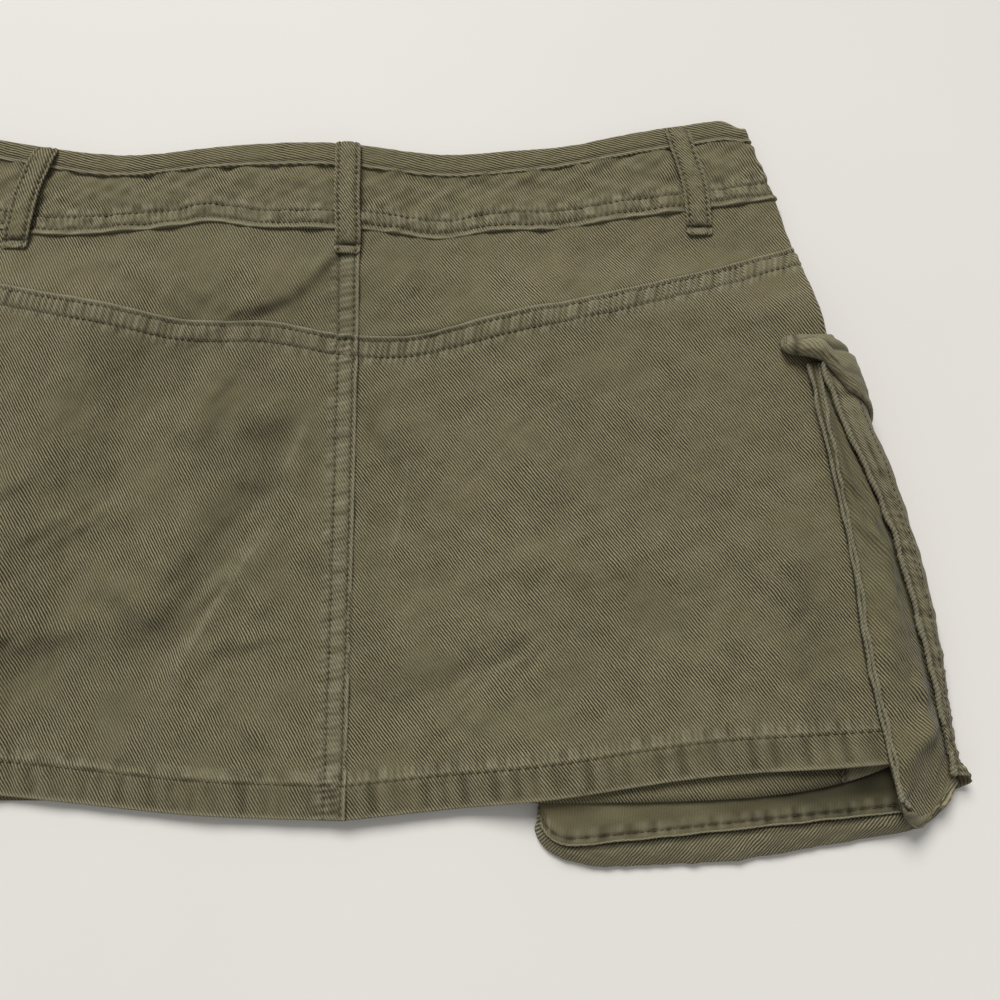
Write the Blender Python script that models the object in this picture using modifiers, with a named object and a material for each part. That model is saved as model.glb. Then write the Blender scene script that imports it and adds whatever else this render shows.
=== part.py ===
"""Cargo mini skirt laid flat with its front down and its back up, in metres, +Z up.

The skirt is a flattened tube: a back layer above, a front layer below, and a fold at each side. Every piece is a
wall of cloth whose middle surface is read from the same laid form, so neighbours meet edge to edge at their seams.
The garment lies a little turned, so the right side seam is underneath and the left one shows on top. +X is the
wearer's right, +Y runs to the waist, and the part rests on its front and on the faces of its bellows pockets.
"""

from collections import namedtuple

import bmesh
import bpy
import numpy as np

RIGHT, LEFT = 1, -1
SIDES = ((RIGHT, "right"), (LEFT, "left"))

# Cloth
CLOTH = 0.0012  # one ply of heavy twill
BAND = 0.0018  # the waistband and its binding
FLAP_CLOTH = 0.0016  # two plies, pressed
SEAM_GAP = 0.0003
AIR = 0.0006  # between layers that lie on each other

# The laid form, measured from the centre back seam. The origin is below the middle of the box round the garment.
ORIGIN_X = -0.0167
ORIGIN_Y = -0.0009
FRONT_BASE = CLOTH / 2  # height of the front layer's middle where it lies on the ground
WAIST_LIFT = 0.0020  # how far the button lifts the waist
LAYER_STEP = 0.0026  # from the front layer's middle to the back layer's
FOLD_ROUND = np.pi * LAYER_STEP / 2  # the way round a side fold
HEM_LIFT = 0.0024  # the back hem's soft rise near its centre, and how far out and up it reaches
HEM_LIFT_X = -0.0175
HEM_LIFT_REACH = 0.075
HEM_LIFT_Y = (-0.040, -0.150)
CURL = 0.0040  # the back hem's rise beside the right pocket, and how far out and up it reaches
CURL_X = 0.209
CURL_REACH = 0.022
CURL_Y = (-0.116, -0.140)
FLY_LIFT = 0.0024  # what the lapped waistband ends add under the back, and how far out and down it reaches
FLY_LIFT_REACH = 0.030
FLY_LIFT_Y = (0.070, 0.095)
WAIST_LIFT_Y = (0.055, 0.095)

# A pocket lifts the layers above it, along a slope that starts this far from its front edge and ends past it.
POCKET_LIFT = 0.0098
SLOPE_BEFORE = 0.042
SLOPE_PAST = 0.006
SLOPE_TOP = (0.108, 0.066)

# The distance from the centre back to a side seam at some heights, and how far round the garment is turned.
Quarter = namedtuple("Quarter", "y length turn")
QUARTERS = (
    Quarter(-0.200, 0.2645, 0.027),
    Quarter(-0.130, 0.2585, 0.024),
    Quarter(-0.060, 0.2475, 0.019),
    Quarter(0.000, 0.2385, 0.015),
    Quarter(0.060, 0.2248, 0.011),
    Quarter(0.100, 0.2143, 0.010),
    Quarter(0.130, 0.2045, 0.009),
    Quarter(0.170, 0.1893, 0.008),
)

# Slack waves of a seam line: place across the back, below 0 to the left and 1 at the fold, spread and depth, below
# 0 for a rise.
Wave = namedtuple("Wave", "place spread depth")
TOP_WAVES = (
    Wave(0.25, 0.20, 0.0059),
    Wave(0.53, 0.15, 0.0038),
    Wave(1.00, 0.03, 0.0060),
    Wave(-0.56, 0.20, 0.0078),
    Wave(-0.83, 0.21, 0.0056),
)
BINDING_WAVES = (
    Wave(0.24, 0.19, 0.0056),
    Wave(0.50, 0.16, 0.0034),
    Wave(-0.58, 0.185, 0.0078),
    Wave(-0.84, 0.18, 0.0036),
)
WAIST_WAVES = (
    Wave(0.20, 0.11, 0.0050),
    Wave(0.47, 0.12, 0.0030),
    Wave(-0.32, 0.07, -0.0036),
    Wave(-0.68, 0.19, 0.0068),
)
YOKE_WAVES = (Wave(0.12, 0.08, 0.0016), Wave(-0.18, 0.11, -0.0044))
HEM_WAVES = (Wave(0.66, 0.22, -0.0032), Wave(-0.22, 0.20, 0.0024))

# A seam line round the garment. On the back its height above centre grows with the distance from the centre,
# as rise * distance ** power, less its slack waves. On the front it runs from front_centre up to where the back's
# line meets the fold, as distance ** front_power.
Row = namedtuple("Row", "centre rise_right rise_left power front_centre front_power waves")
TOP = Row(0.157, 0.014, 0.012, 2.2, 0.143, 1.6, TOP_WAVES)
BINDING = Row(0.147, 0.0155, 0.012, 2.2, 0.133, 1.6, BINDING_WAVES)
WAIST = Row(0.115, 0.0155, 0.010, 2.0, 0.102, 1.6, WAIST_WAVES)
YOKE = Row(0.062, 0.042, 0.036, 1.55, 0.062, 1.6, YOKE_WAVES)
HEM = Row(-0.150, 0.023, 0.020, 1.1, -0.143, 8.0, HEM_WAVES)

# Mesh steps: along a quarter of the garment up to the pocket's slope, up the slope and on to the fold or seam; over
# a fold; between a fold and a seam beside it; and down each stretch of cloth.
QUARTER_STEPS = (4, 4, 5)
FOLD_STEPS = 5
BESIDE_STEPS = 2
YOKE_ROWS = 3
PANEL_ROWS = 10
BAND_ROWS = 2

# Bellows pocket. Its back edge is sewn on along the ridge, and the bag goes round the side to the front.
POCKET_WIDTH = 0.153
MOUTH_Y = 0.046
POCKET_FOOT_Y = -0.146
FOOT_SLOPE = 0.10  # the pocket's rows fall this much for each metre round from the ridge
RIDGE_TOP = 0.2025
RIDGE_SLOPE = 0.17
RIDGE_BOW = 0.004  # the ridge bows in this much, from and by these heights
RIDGE_BOW_Y = (-0.030, -0.090)
FACE_DROP = 0.0095  # the face hangs this much lower than the backing
CORNER = 0.016
RIDGE_CORNER = 0.004  # of the backing, where it meets the ridge
FACE_CORNER = 0.085  # the face's foot slants up over this much of its length towards the bulge
FACE_LIFT = 0.0115
TIP_CORNER = 0.022  # and more steeply over the last of it
TIP_LIFT = 0.012
SLANT_START = 1.985  # the place around the bag where that slant starts
SLANT_MOST = 0.6  # and the most of the bag's front that it takes
LOBE_DOWN = 0.0155  # the bellows hangs out this much at its corner, and this far along it
LOBE_OUT = 0.002
LOBE_REACH = 0.013
BELLOWS_SWELL = {RIGHT: 0.09, LEFT: 0.03}  # how far the bellows rises along its middle, as a share of its width
BELLOWS_ROWS = 3
FLAP_SEAM_Y = 0.061
FLAP_DROP = 0.058
FLAP_OVERHANG = 0.009
FLAP_BEHIND = 0.018  # the flap's back edge lies this far behind the bag's seam
FLAP_ROLLED = 0.16  # the share of its drop that still hangs at the flap's rolled back edge
FLAP_PAST = 0.03  # and how far past the bag's front edge the flap goes, as a share of its front
FLAP_ROLL_END = 2.3  # the place around the bag where it hangs in full
FLAP_ROWS = np.array([0.0, 0.06, 0.13, 0.2, 0.27, 0.5, 0.75, 1.0])
FLAP_REACH = 0.009  # the depth by which it has left the skirt for the bag
FLAP_SLACK = 0.004  # the face stays raised this far past the flap's foot, then comes down over the next step
FLAP_STEP = 0.013
POCKET_STEPS = {RIGHT: (1, FOLD_STEPS, 1, 2, 3), LEFT: (3, FOLD_STEPS, 1, 1, 3)}
FLAP_BACK_STEPS = 3
POCKET_ROWS = (2, 1, 6)  # of the face: down to the flap's foot, over the step, and on to the pocket's foot

# The bag's face at some heights: where its seam with the bellows lies, how high, and how far the bag bulges.
Bag = namedtuple("Bag", "y seam_x seam_z bulge_x")
BAGS = {
    RIGHT: (
        Bag(-0.180, 0.2590, 0.0078, 0.2600),
        Bag(-0.125, 0.2560, 0.0095, 0.2592),
        Bag(-0.100, 0.2515, 0.0108, 0.2578),
        Bag(-0.050, 0.2410, 0.0132, 0.2515),
        Bag(-0.022, 0.2335, 0.0148, 0.2450),
        Bag(0.000, 0.2240, 0.0177, 0.2375),
        Bag(0.020, 0.2155, 0.0188, 0.2305),
        Bag(0.045, 0.2085, 0.0190, 0.2225),
        Bag(0.070, 0.2055, 0.0190, 0.2120),
    ),
    LEFT: (
        Bag(-0.180, 0.2595, 0.0180, 0.3015),
        Bag(-0.125, 0.2545, 0.0195, 0.2930),
        Bag(-0.080, 0.2445, 0.0195, 0.2830),
        Bag(-0.030, 0.2335, 0.0195, 0.2710),
        Bag(0.020, 0.2225, 0.0195, 0.2590),
        Bag(0.070, 0.2115, 0.0190, 0.2480),
    ),
}

# Belt loops: the middle of the top and bottom ends, seen from above.
Loop = namedtuple("Loop", "name top_x top_y bottom_x bottom_y under")
LOOPS = (
    Loop("belt_loop_back_centre", -0.0053, 0.158, -0.0045, 0.1012, False),
    Loop("belt_loop_back_right", 0.1495, 0.166, 0.1593, 0.1110, False),
    Loop("belt_loop_back_left", -0.1475, 0.156, -0.1594, 0.1045, False),
    Loop("belt_loop_front_right", 0.082, 0.144, 0.084, 0.098, True),
    Loop("belt_loop_front_left", -0.114, 0.143, -0.118, 0.097, True),
)
LOOP_WIDTH = 0.0118
LOOP_RISE = 0.0014
LOOP_ROWS = 6

BUTTON_RADIUS = 0.0085
BUTTON_Y = 0.121
LAP = 0.014  # the waistband's ends lap this far each way past the centre front
LAP_RISE = 2 * SEAM_GAP  # the lapping end clears the panel below it
LAP_START = (0.020, 0.002)  # the end that laps behind moves over this stretch before the lap

OLIVE = (0.125, 0.112, 0.066, 1.0)
DARK_METAL = (0.10, 0.09, 0.08, 1.0)


# The laid form


def smooth(low, high, value):
    """0 below low, 1 above high, and a soft step between."""
    share = np.clip((value - low) / (high - low), 0.0, 1.0)
    return share * share * (3.0 - 2.0 * share)


def hump(value):
    """1 at 0, and a soft fall to 0 past 1 each way."""
    return np.exp(-value * value)


def read(table, name, y):
    """A column of a table of heights, read at y along a soft curve through its rows."""
    levels = np.array([row.y for row in table])
    values = np.array([getattr(row, name) for row in table])
    slopes = np.gradient(values, levels)
    row = np.clip(np.searchsorted(levels, y) - 1, 0, len(levels) - 2)
    step = levels[row + 1] - levels[row]
    t = np.clip((y - levels[row]) / step, 0.0, 1.0)
    start = (1 + 2 * t) * (1 - t) ** 2 * values[row] + t * (1 - t) ** 2 * step * slopes[row]
    end = t * t * (3 - 2 * t) * values[row + 1] + t * t * (t - 1) * step * slopes[row + 1]
    return start + end


def quarter(y):
    return read(QUARTERS, "length", y)


def fold_x(side, y):
    """How far from the centre line a side's fold starts."""
    return quarter(y) - side * read(QUARTERS, "turn", y) - FOLD_ROUND / 2


def centre_front(y):
    return -2 * read(QUARTERS, "turn", y)


def ridge_x(y):
    """The pocket's back edge, where the bellows is sewn to the back panel."""
    return RIDGE_TOP + RIDGE_SLOPE * (MOUTH_Y - y) - RIDGE_BOW * smooth(*RIDGE_BOW_Y, y)


def front_edge(y):
    """How far round from the centre back the pocket's front edge is."""
    return RIDGE_TOP + RIDGE_SLOPE * (MOUTH_Y - y) + POCKET_WIDTH


def bag_front_x(side, y):
    """The pocket's front edge, under the front, from the centre line."""
    y = np.minimum(y, FLAP_SEAM_Y)
    return 2 * fold_x(side, y) + FOLD_ROUND - front_edge(y)


def slope_ends(side, y):
    """Where the slope up to the pocket starts and ends, from the centre line."""
    edge = bag_front_x(side, y)
    return edge - SLOPE_BEFORE, np.minimum(edge + SLOPE_PAST, quarter(y) - CORNER)


def pillow(x, y):
    """How much of a pocket's thickness lies under the layers at (x, y), 0 to 1."""
    right = smooth(*slope_ends(RIGHT, y), x)
    left = smooth(*slope_ends(LEFT, y), -x)
    return np.maximum(right, left) * smooth(*SLOPE_TOP, y)


def front_height(x, y):
    return FRONT_BASE + WAIST_LIFT * smooth(*WAIST_LIFT_Y, y) + POCKET_LIFT * pillow(x, y)


def back_height(x, y):
    hem = hump((x - HEM_LIFT_X) / HEM_LIFT_REACH) * smooth(*HEM_LIFT_Y, y)
    fly = hump((x - centre_front(y)) / FLY_LIFT_REACH) * smooth(*FLY_LIFT_Y, y)
    curl = hump((x - CURL_X) / CURL_REACH) * smooth(*CURL_Y, y)
    return front_height(x, y) + LAYER_STEP + HEM_LIFT * hem + FLY_LIFT * fly + CURL * curl


def lay(side, distance, y, out=0.0):
    """The point of the laid cloth that is this distance from the centre line towards one side, on the back, over the
    fold and on under the front, at height y and out metres proud of the cloth's middle."""
    distance, y, out = np.broadcast_arrays(distance, y, out)
    fold = fold_x(side, y)
    radius = LAYER_STEP / 2
    turn = np.clip((distance - fold) / radius, 0.0, np.pi)
    before = turn <= 0
    after = turn >= np.pi
    x = fold + (radius + out) * np.sin(turn)
    x = np.where(before, distance, x)
    x = np.where(after, 2 * fold + FOLD_ROUND - distance, x)
    z = front_height(side * fold, y) + radius + (radius + out) * np.cos(turn)
    z = np.where(before, back_height(side * x, y) + out, z)
    z = np.where(after, front_height(side * x, y) - out, z)
    return np.stack([side * x, y, z], axis=-1)


def row_level(row, side):
    """Height of a seam line where it meets the fold."""
    return row.centre + (row.rise_right if side == RIGHT else row.rise_left)


def slack(row, side, place):
    """How far its waves lower a seam line at a place across the back, 0 at the centre and 1 at the fold."""
    return sum(wave.depth * hump((side * place - wave.place) / wave.spread) for wave in row.waves)


def row_y(row, side, distance):
    """Height of a seam line at a distance round from the centre back."""
    level = row_level(row, side)
    fold = fold_x(side, level)
    folded = fold + FOLD_ROUND
    place = np.clip(distance / fold, 0.0, 1.0)
    back = row.centre + (level - row.centre) * place**row.power - slack(row, side, place)
    at_fold = level - slack(row, side, 1.0)
    share = np.clip((2 * quarter(level) - distance) / (2 * quarter(level) - folded), 0.0, 1.0)
    front = row.front_centre + (at_fold - row.front_centre) * share**row.front_power
    return np.where(distance < folded, back, front)


def places(steps):
    """Places through a row of knots, which count up from 0, with a number of even steps between each two."""
    runs = [np.zeros(1)]
    for knot, count in enumerate(steps):
        runs.append(knot + np.linspace(0.0, 1.0, count + 1)[1:])
    return np.concatenate(runs)[:, None]


def through(knots, place):
    """The value at a place along a row of knots."""
    value = knots[0]
    for knot, (low, high) in enumerate(zip(knots[:-1], knots[1:])):
        value = value + (high - low) * np.clip(place - knot, 0.0, 1.0)
    return value


def back_stations(side, y):
    """Distances across the back, from the centre back to the side seam."""
    fold = fold_x(side, y)
    start, end = slope_ends(side, y)
    if side == LEFT:
        return through([0.0, start, end, quarter(y)], places(QUARTER_STEPS))
    knots = [0.0, start, end, fold, fold + FOLD_ROUND, quarter(y)]
    return through(knots, places((*QUARTER_STEPS, FOLD_STEPS, BESIDE_STEPS)))


def front_stations(side, y):
    """Distances under the front, from the side seam to the centre front."""
    fold = fold_x(side, y)
    start, end = slope_ends(side, y)
    under = [2 * fold + FOLD_ROUND - end, 2 * fold + FOLD_ROUND - start, 2 * quarter(y)]
    if side == RIGHT:
        return through([quarter(y), *under], places(QUARTER_STEPS[::-1]))
    knots = [quarter(y), fold, fold + FOLD_ROUND, *under]
    return through(knots, places((BESIDE_STEPS, FOLD_STEPS, *QUARTER_STEPS[::-1])))


def laid(side, stations, rows, downs):
    """Grid of points of the laid cloth down through seam lines, half a seam gap short of its neighbours."""
    grids = []
    for top, bottom, count in zip(rows[:-1], rows[1:], downs):
        share = np.linspace(0.0, 1.0, count + 1)[1 if grids else 0 :]
        level = row_level(top, side) + (row_level(bottom, side) - row_level(top, side)) * share
        distance = stations(side, level)
        y = row_y(top, side, distance) * (1 - share) + row_y(bottom, side, distance) * share
        grids.append(np.stack([stations(side, y), y], axis=-1))
    grid = np.concatenate(grids, axis=1)
    grid[0, :, 0] += SEAM_GAP / 2
    grid[-1, :, 0] -= SEAM_GAP / 2
    grid[:, 0, 1] -= SEAM_GAP / 2
    grid[:, -1, 1] += SEAM_GAP / 2
    return lay(side, grid[..., 0], grid[..., 1])


# Making solids


def material(name, colour, roughness, metallic):
    made = bpy.data.materials.new(name)
    made.use_nodes = True
    shader = made.node_tree.nodes["Principled BSDF"]
    shader.inputs["Base Color"].default_value = colour
    shader.inputs["Roughness"].default_value = roughness
    shader.inputs["Metallic"].default_value = metallic
    return made


def wall(name, points, thickness, cloth):
    """A wall of cloth whose middle surface passes through a grid of points, an array of across by down by 3."""
    across, down = points.shape[0] - 1, points.shape[1] - 1
    mesh = bpy.data.meshes.new(name)
    grid = bmesh.new()
    bmesh.ops.create_grid(grid, x_segments=across, y_segments=down, size=0.5)
    for vertex in grid.verts:
        i = round((vertex.co.x + 0.5) * across)
        j = round((vertex.co.y + 0.5) * down)
        x, y, z = points[i, j]
        vertex.co = (x - ORIGIN_X, y - ORIGIN_Y, z)
    grid.to_mesh(mesh)
    grid.free()
    mesh.materials.append(cloth)
    piece = bpy.data.objects.new(name, mesh)
    bpy.data.collections["skirt"].objects.link(piece)
    shell = piece.modifiers.new("Cloth", "SOLIDIFY")
    shell.thickness = thickness
    shell.offset = 0.0


# The sewn pieces


def build_panels(cloth):
    for side, name in SIDES:
        wall(f"back_yoke_{name}", laid(side, back_stations, (WAIST, YOKE), (YOKE_ROWS,)), CLOTH, cloth)
        wall(f"back_panel_{name}", laid(side, back_stations, (YOKE, HEM), (PANEL_ROWS,)), CLOTH, cloth)
        front = laid(side, front_stations, (WAIST, YOKE, HEM), (YOKE_ROWS, PANEL_ROWS))
        wall(f"front_panel_{name}", front, CLOTH, cloth)


def front_band(side, rows, downs):
    """The waistband's front half, carried on past the centre front to lap over or under the other half."""
    points = laid(side, front_stations, rows, downs)
    share = np.linspace(0.0, 1.0, BESIDE_STEPS + 1)[1:, None]
    past = points[-1:].repeat(BESIDE_STEPS, axis=0)
    past[:, :, 0] -= side * LAP * share
    past[:, :, 1] += LAP_RISE
    points = np.concatenate([points, past])
    if side == LEFT:
        before_lap = centre_front(points[..., 1]) - LAP - points[..., 0]
        points[..., 2] += (BAND + AIR) * smooth(*LAP_START, before_lap)
    return points


def build_waist(cloth):
    for rows, name, downs in (((BINDING, WAIST), "waistband", (BAND_ROWS,)), ((TOP, BINDING), "waist_binding", (1,))):
        left = laid(LEFT, back_stations, rows, downs)[:0:-1]
        right = laid(RIGHT, back_stations, rows, downs)[1:]
        middle = (left[-1:] + right[:1]) / 2
        wall(f"{name}_back", np.concatenate([left, middle, right]), BAND, cloth)
        for side, side_name in SIDES:
            wall(f"{name}_front_{side_name}", front_band(side, rows, downs), BAND, cloth)


def build_loops(cloth):
    proud = BAND / 2 + SEAM_GAP + CLOTH / 2
    share = np.linspace(0.0, 1.0, LOOP_ROWS + 1)
    across = np.array([[-0.5], [0.5]]) * LOOP_WIDTH
    for loop in LOOPS:
        x = loop.top_x + (loop.bottom_x - loop.top_x) * share + across
        y = loop.top_y + (loop.bottom_y - loop.top_y) * share + 0 * across
        if loop.under:
            z = front_height(x, y) - proud
        else:
            z = back_height(x, y) + proud + LOOP_RISE * np.sin(np.pi * share)
        wall(loop.name, np.stack([x, y, z], axis=-1), CLOTH, cloth)


def build_button(metal):
    height = FRONT_BASE + WAIST_LIFT - BAND / 2 - SEAM_GAP
    bpy.ops.mesh.primitive_cylinder_add(
        vertices=24,
        radius=BUTTON_RADIUS,
        depth=height,
        location=(centre_front(BUTTON_Y) - ORIGIN_X, BUTTON_Y - ORIGIN_Y, height / 2),
    )
    button = bpy.context.object
    button.name = "waist_button"
    button.data.materials.append(metal)
    for collection in list(button.users_collection):
        collection.objects.unlink(button)
    bpy.data.collections["skirt"].objects.link(button)


# The bellows pockets


def rounded(distance, radius):
    """How far a rounded corner lifts a foot, at a distance along it from its end."""
    near = np.clip(distance / radius, 0.0, 1.0)
    return radius * (1 - np.sqrt(1 - (1 - near) ** 2))


def slanted(distance):
    """How far the face's slanting corner lifts its foot, at a distance along it from the bulge's edge."""
    tip = np.clip(1 - distance / TIP_CORNER, 0.0, 1.0)
    return FACE_LIFT * np.clip(1 - distance / FACE_CORNER, 0.0, 1.0) + TIP_LIFT * tip**2


def flap_foot(distance):
    """Height of the flap's foot at a distance round from the ridge, with its slack."""
    return FLAP_SEAM_Y - FLAP_DROP - FLAP_SLACK - FOOT_SLOPE * distance


def bag_face(side, around, y, out=0.0):
    """The point of the bag's face at a place around it: 0 at its seam with the bellows, 1 and 2 where the bulge
    starts and ends, and 3 at its front edge. At -1 it is where the flap's back edge starts, behind the seam."""
    around, y, out = np.broadcast_arrays(around, y, out)
    over_flap = smooth(-FLAP_STEP, 0.0, y - flap_foot(POCKET_WIDTH * np.clip((around - 1) / 2, 0.0, 1.0)))
    level = CLOTH / 2 + (FLAP_CLOTH + AIR) * over_flap
    seam_x = read(BAGS[side], "seam_x", y)
    radius = (read(BAGS[side], "seam_z", y) - level) / 2
    centre = np.maximum(read(BAGS[side], "bulge_x", y) - radius, seam_x)
    turn = np.pi * np.clip(around - 1, 0.0, 1.0)
    x = seam_x + FLAP_BEHIND * np.minimum(around, 0.0) + (centre - seam_x) * np.clip(around, 0.0, 1.0)
    x = x + (radius + out) * np.sin(turn) - (centre - bag_front_x(side, y)) * np.clip(around - 2, 0.0, None)
    z = level + radius + (radius + out) * np.cos(turn)
    return np.stack([side * x, y, z], axis=-1)


def around_bag(side, steps, back=0.0, past=0.0):
    """Places around the face, with one where each of its corners starts. Back and past carry its ends on."""
    width = read(BAGS[side], "seam_x", POCKET_FOOT_Y) - bag_front_x(side, POCKET_FOOT_Y)
    slant = min(FACE_CORNER / width, SLANT_MOST)
    knots = [-back, 1.0, 2.0, 2.0 + slant, 3.0 - CORNER / width, 3.0 + past]
    return through(knots, places(steps))


def bag_points(side, out=0.0):
    """Grid of points of the bag's face."""
    around = around_bag(side, POCKET_STEPS[side])
    distance = POCKET_WIDTH * np.clip(around - 1, 0.0, None) / 2
    mouth = MOUTH_Y - FOOT_SLOPE * distance
    flap = flap_foot(distance)
    foot = POCKET_FOOT_Y - FACE_DROP - FOOT_SLOPE * distance
    foot = foot + slanted(POCKET_WIDTH * np.clip(around - SLANT_START, 0.0, None))
    foot = foot + rounded(POCKET_WIDTH - distance, CORNER)
    return bag_face(side, around, through([mouth, flap, flap - FLAP_STEP, foot], places(POCKET_ROWS).T), out)


def across_skirt(side, y, steps, back=0.0, past=0.0):
    """Distances round the skirt under the pocket, from its ridge over the fold and under to its front edge. Back and
    past carry the ends on."""
    fold = fold_x(side, y)
    slope = 2 * fold + FOLD_ROUND - slope_ends(side, y)[1]
    corner = fold + FOLD_ROUND + FACE_CORNER
    knots = [ridge_x(y) - back, fold, fold + FOLD_ROUND, corner, slope, front_edge(y) + past]
    return through(knots, places(steps))


def backing_points(side, out):
    """Grid of points of the backing, which lies on the skirt."""
    steps = POCKET_STEPS[side]
    down = np.linspace(0.0, 1.0, sum(POCKET_ROWS) + 1)
    level = MOUTH_Y + (POCKET_FOOT_Y - MOUTH_Y) * down
    width = front_edge(level) - ridge_x(level)
    distance = np.clip(across_skirt(side, level, steps) - ridge_x(level), 0.0, width)
    corners = rounded(distance, RIDGE_CORNER) + rounded(width - distance, CORNER)
    y = level - FOOT_SLOPE * distance + corners * down
    return lay(side, across_skirt(side, y, steps), y, out)


def outline(grid):
    """A grid's edge down its first side, along its foot and up its last side."""
    return np.concatenate([grid[0], grid[1:-1, -1], grid[-1, ::-1]])


def bellows_points(side):
    """The bellows joins the backing's edge to the face's, sewn inside both."""
    stacked = CLOTH + AIR
    inner = outline(backing_points(side, CLOTH + AIR + stacked))
    outer = outline(bag_points(side, -stacked))
    width = np.linalg.norm(outer - inner, axis=1)
    swell = BELLOWS_SWELL[side] * width * smooth(MOUTH_Y, MOUTH_Y - CORNER, inner[:, 1])
    along = np.insert(np.cumsum(np.linalg.norm(np.diff(inner, axis=0), axis=1)), 0, 0.0)
    lobe = hump((along - along[sum(POCKET_ROWS)]) / LOBE_REACH)[:, None]
    lobe = lobe * np.array([side * LOBE_OUT, -LOBE_DOWN, 0.0])
    rows = []
    for share in np.linspace(0.0, 1.0, BELLOWS_ROWS + 1):
        row = inner + (outer - inner) * share + lobe * np.sin(np.pi * share) ** 0.8
        row[:, 2] += swell * np.sin(np.pi * share)
        rows.append(row)
    return np.stack(rows, axis=1)


def flap_points(side):
    """Grid of points of the flap, from its seam on the skirt over the mouth and on down the bag's face. Towards its
    back edge it is rolled up, so less of it hangs down."""
    proud = CLOTH / 2 + AIR + FLAP_CLOTH / 2
    steps = (FLAP_BACK_STEPS, *POCKET_STEPS[side][1:])
    around = around_bag(side, steps, 1.0, FLAP_PAST)
    unrolled = np.clip((around + 1) / (FLAP_ROLL_END + 1), 0.0, 1.0)
    hanging = FLAP_ROLLED + (1 - FLAP_ROLLED) * unrolled**2
    depth = FLAP_DROP * hanging * FLAP_ROWS
    level = FLAP_SEAM_Y - depth
    y = level - FOOT_SLOPE * (across_skirt(side, level, steps, FLAP_OVERHANG, FLAP_OVERHANG / 2) - ridge_x(level))
    on_skirt = lay(side, across_skirt(side, y, steps, FLAP_OVERHANG, FLAP_OVERHANG / 2), y, proud)
    on_bag = bag_face(side, around, y, proud)
    return on_skirt + (on_bag - on_skirt) * smooth(0.0, FLAP_REACH, depth)[..., None]


def main():
    for old in list(bpy.data.objects):
        bpy.data.objects.remove(old)
    skirt = bpy.data.collections.new("skirt")
    bpy.context.scene.collection.children.link(skirt)
    cloth = material("olive_twill", OLIVE, 0.9, 0.0)
    metal = material("button_metal", DARK_METAL, 0.45, 0.9)
    build_panels(cloth)
    build_waist(cloth)
    build_loops(cloth)
    build_button(metal)
    for side, name in SIDES:
        wall(f"pocket_backing_{name}", backing_points(side, CLOTH + AIR), CLOTH, cloth)
        wall(f"pocket_face_{name}", bag_points(side), CLOTH, cloth)
        wall(f"pocket_bellows_{name}", bellows_points(side), CLOTH, cloth)
        wall(f"pocket_flap_{name}", flap_points(side), FLAP_CLOTH, cloth)


main()
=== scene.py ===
"""Looks of a cargo mini skirt that lies flat with its back up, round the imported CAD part.

The CAD nodes are walls of cloth that share one laid form: a flattened tube with a back layer above, a
front layer below and a fold at each side. That form is worked out here again with finer steps, and each
piece gets its laps, stitched furrows, puckers, creases and twill. Lengths are in metres: +X is the
wearer's right, +Y runs to the waist, and the ground is z = 0.
"""

from collections import namedtuple

import bpy
import numpy as np
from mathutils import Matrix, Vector


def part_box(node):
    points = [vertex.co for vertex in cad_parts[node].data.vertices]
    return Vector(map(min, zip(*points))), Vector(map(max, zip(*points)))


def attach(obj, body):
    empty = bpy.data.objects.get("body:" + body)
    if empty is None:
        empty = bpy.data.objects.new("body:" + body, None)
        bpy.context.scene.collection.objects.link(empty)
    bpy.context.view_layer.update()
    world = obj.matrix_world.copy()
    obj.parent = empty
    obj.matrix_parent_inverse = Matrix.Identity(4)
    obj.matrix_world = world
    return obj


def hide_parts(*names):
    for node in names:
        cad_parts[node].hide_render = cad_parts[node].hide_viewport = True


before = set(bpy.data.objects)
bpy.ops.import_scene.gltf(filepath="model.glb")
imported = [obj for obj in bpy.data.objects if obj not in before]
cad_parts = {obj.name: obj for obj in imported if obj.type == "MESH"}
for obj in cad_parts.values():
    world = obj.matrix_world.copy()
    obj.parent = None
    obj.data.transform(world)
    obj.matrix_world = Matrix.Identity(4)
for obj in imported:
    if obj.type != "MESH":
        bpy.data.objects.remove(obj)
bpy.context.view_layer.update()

RIGHT, LEFT = 1, -1
SIDES = ((RIGHT, "right"), (LEFT, "left"))

# How thick the cloth is, one layer of it, the doubled waistband and the doubled flap
CLOTH = 0.0012
BAND = 0.0016
FLAP_CLOTH = 0.0016
SEAM_GAP = 0.0003
AIR = 0.0006  # between layers that lie on each other

# The laid form is measured from the centre back seam, and the frame says where that is.
BUTTON_Y = 0.121
ORIGIN_X = SEAM_GAP / 2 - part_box("back_panel_right")[0].x
ORIGIN_Y = BUTTON_Y - sum(corner.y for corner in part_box("waist_button")) / 2

# How high the front lies, how much higher it is at the waist, and the back's height over it
FRONT_BASE = CLOTH / 2
WAIST_LIFT = 0.002
WAIST_LIFT_Y = (0.055, 0.095)
LAYER_STEP = 0.0026
FOLD_ROUND = np.pi * LAYER_STEP / 2  # the way round a side fold

# The hem stands up a little near the centre and curls up beside the right pocket, and the back rises over
# the fly.
HEM_LIFT = 0.0024
HEM_LIFT_X = -0.0175
HEM_LIFT_REACH = 0.075
HEM_LIFT_Y = (-0.04, -0.15)
CURL = 0.004
CURL_X = 0.209
CURL_REACH = 0.022
CURL_Y = (-0.116, -0.14)
FLY_LIFT = 0.0024
FLY_LIFT_REACH = 0.03
FLY_LIFT_Y = (0.07, 0.095)

# The layers lie this much higher on a pocket, along a slope round its front edge and its top.
POCKET_LIFT = 0.0098
SLOPE_BEFORE = 0.042
SLOPE_PAST = 0.006
SLOPE_TOP = (0.108, 0.066)

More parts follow.
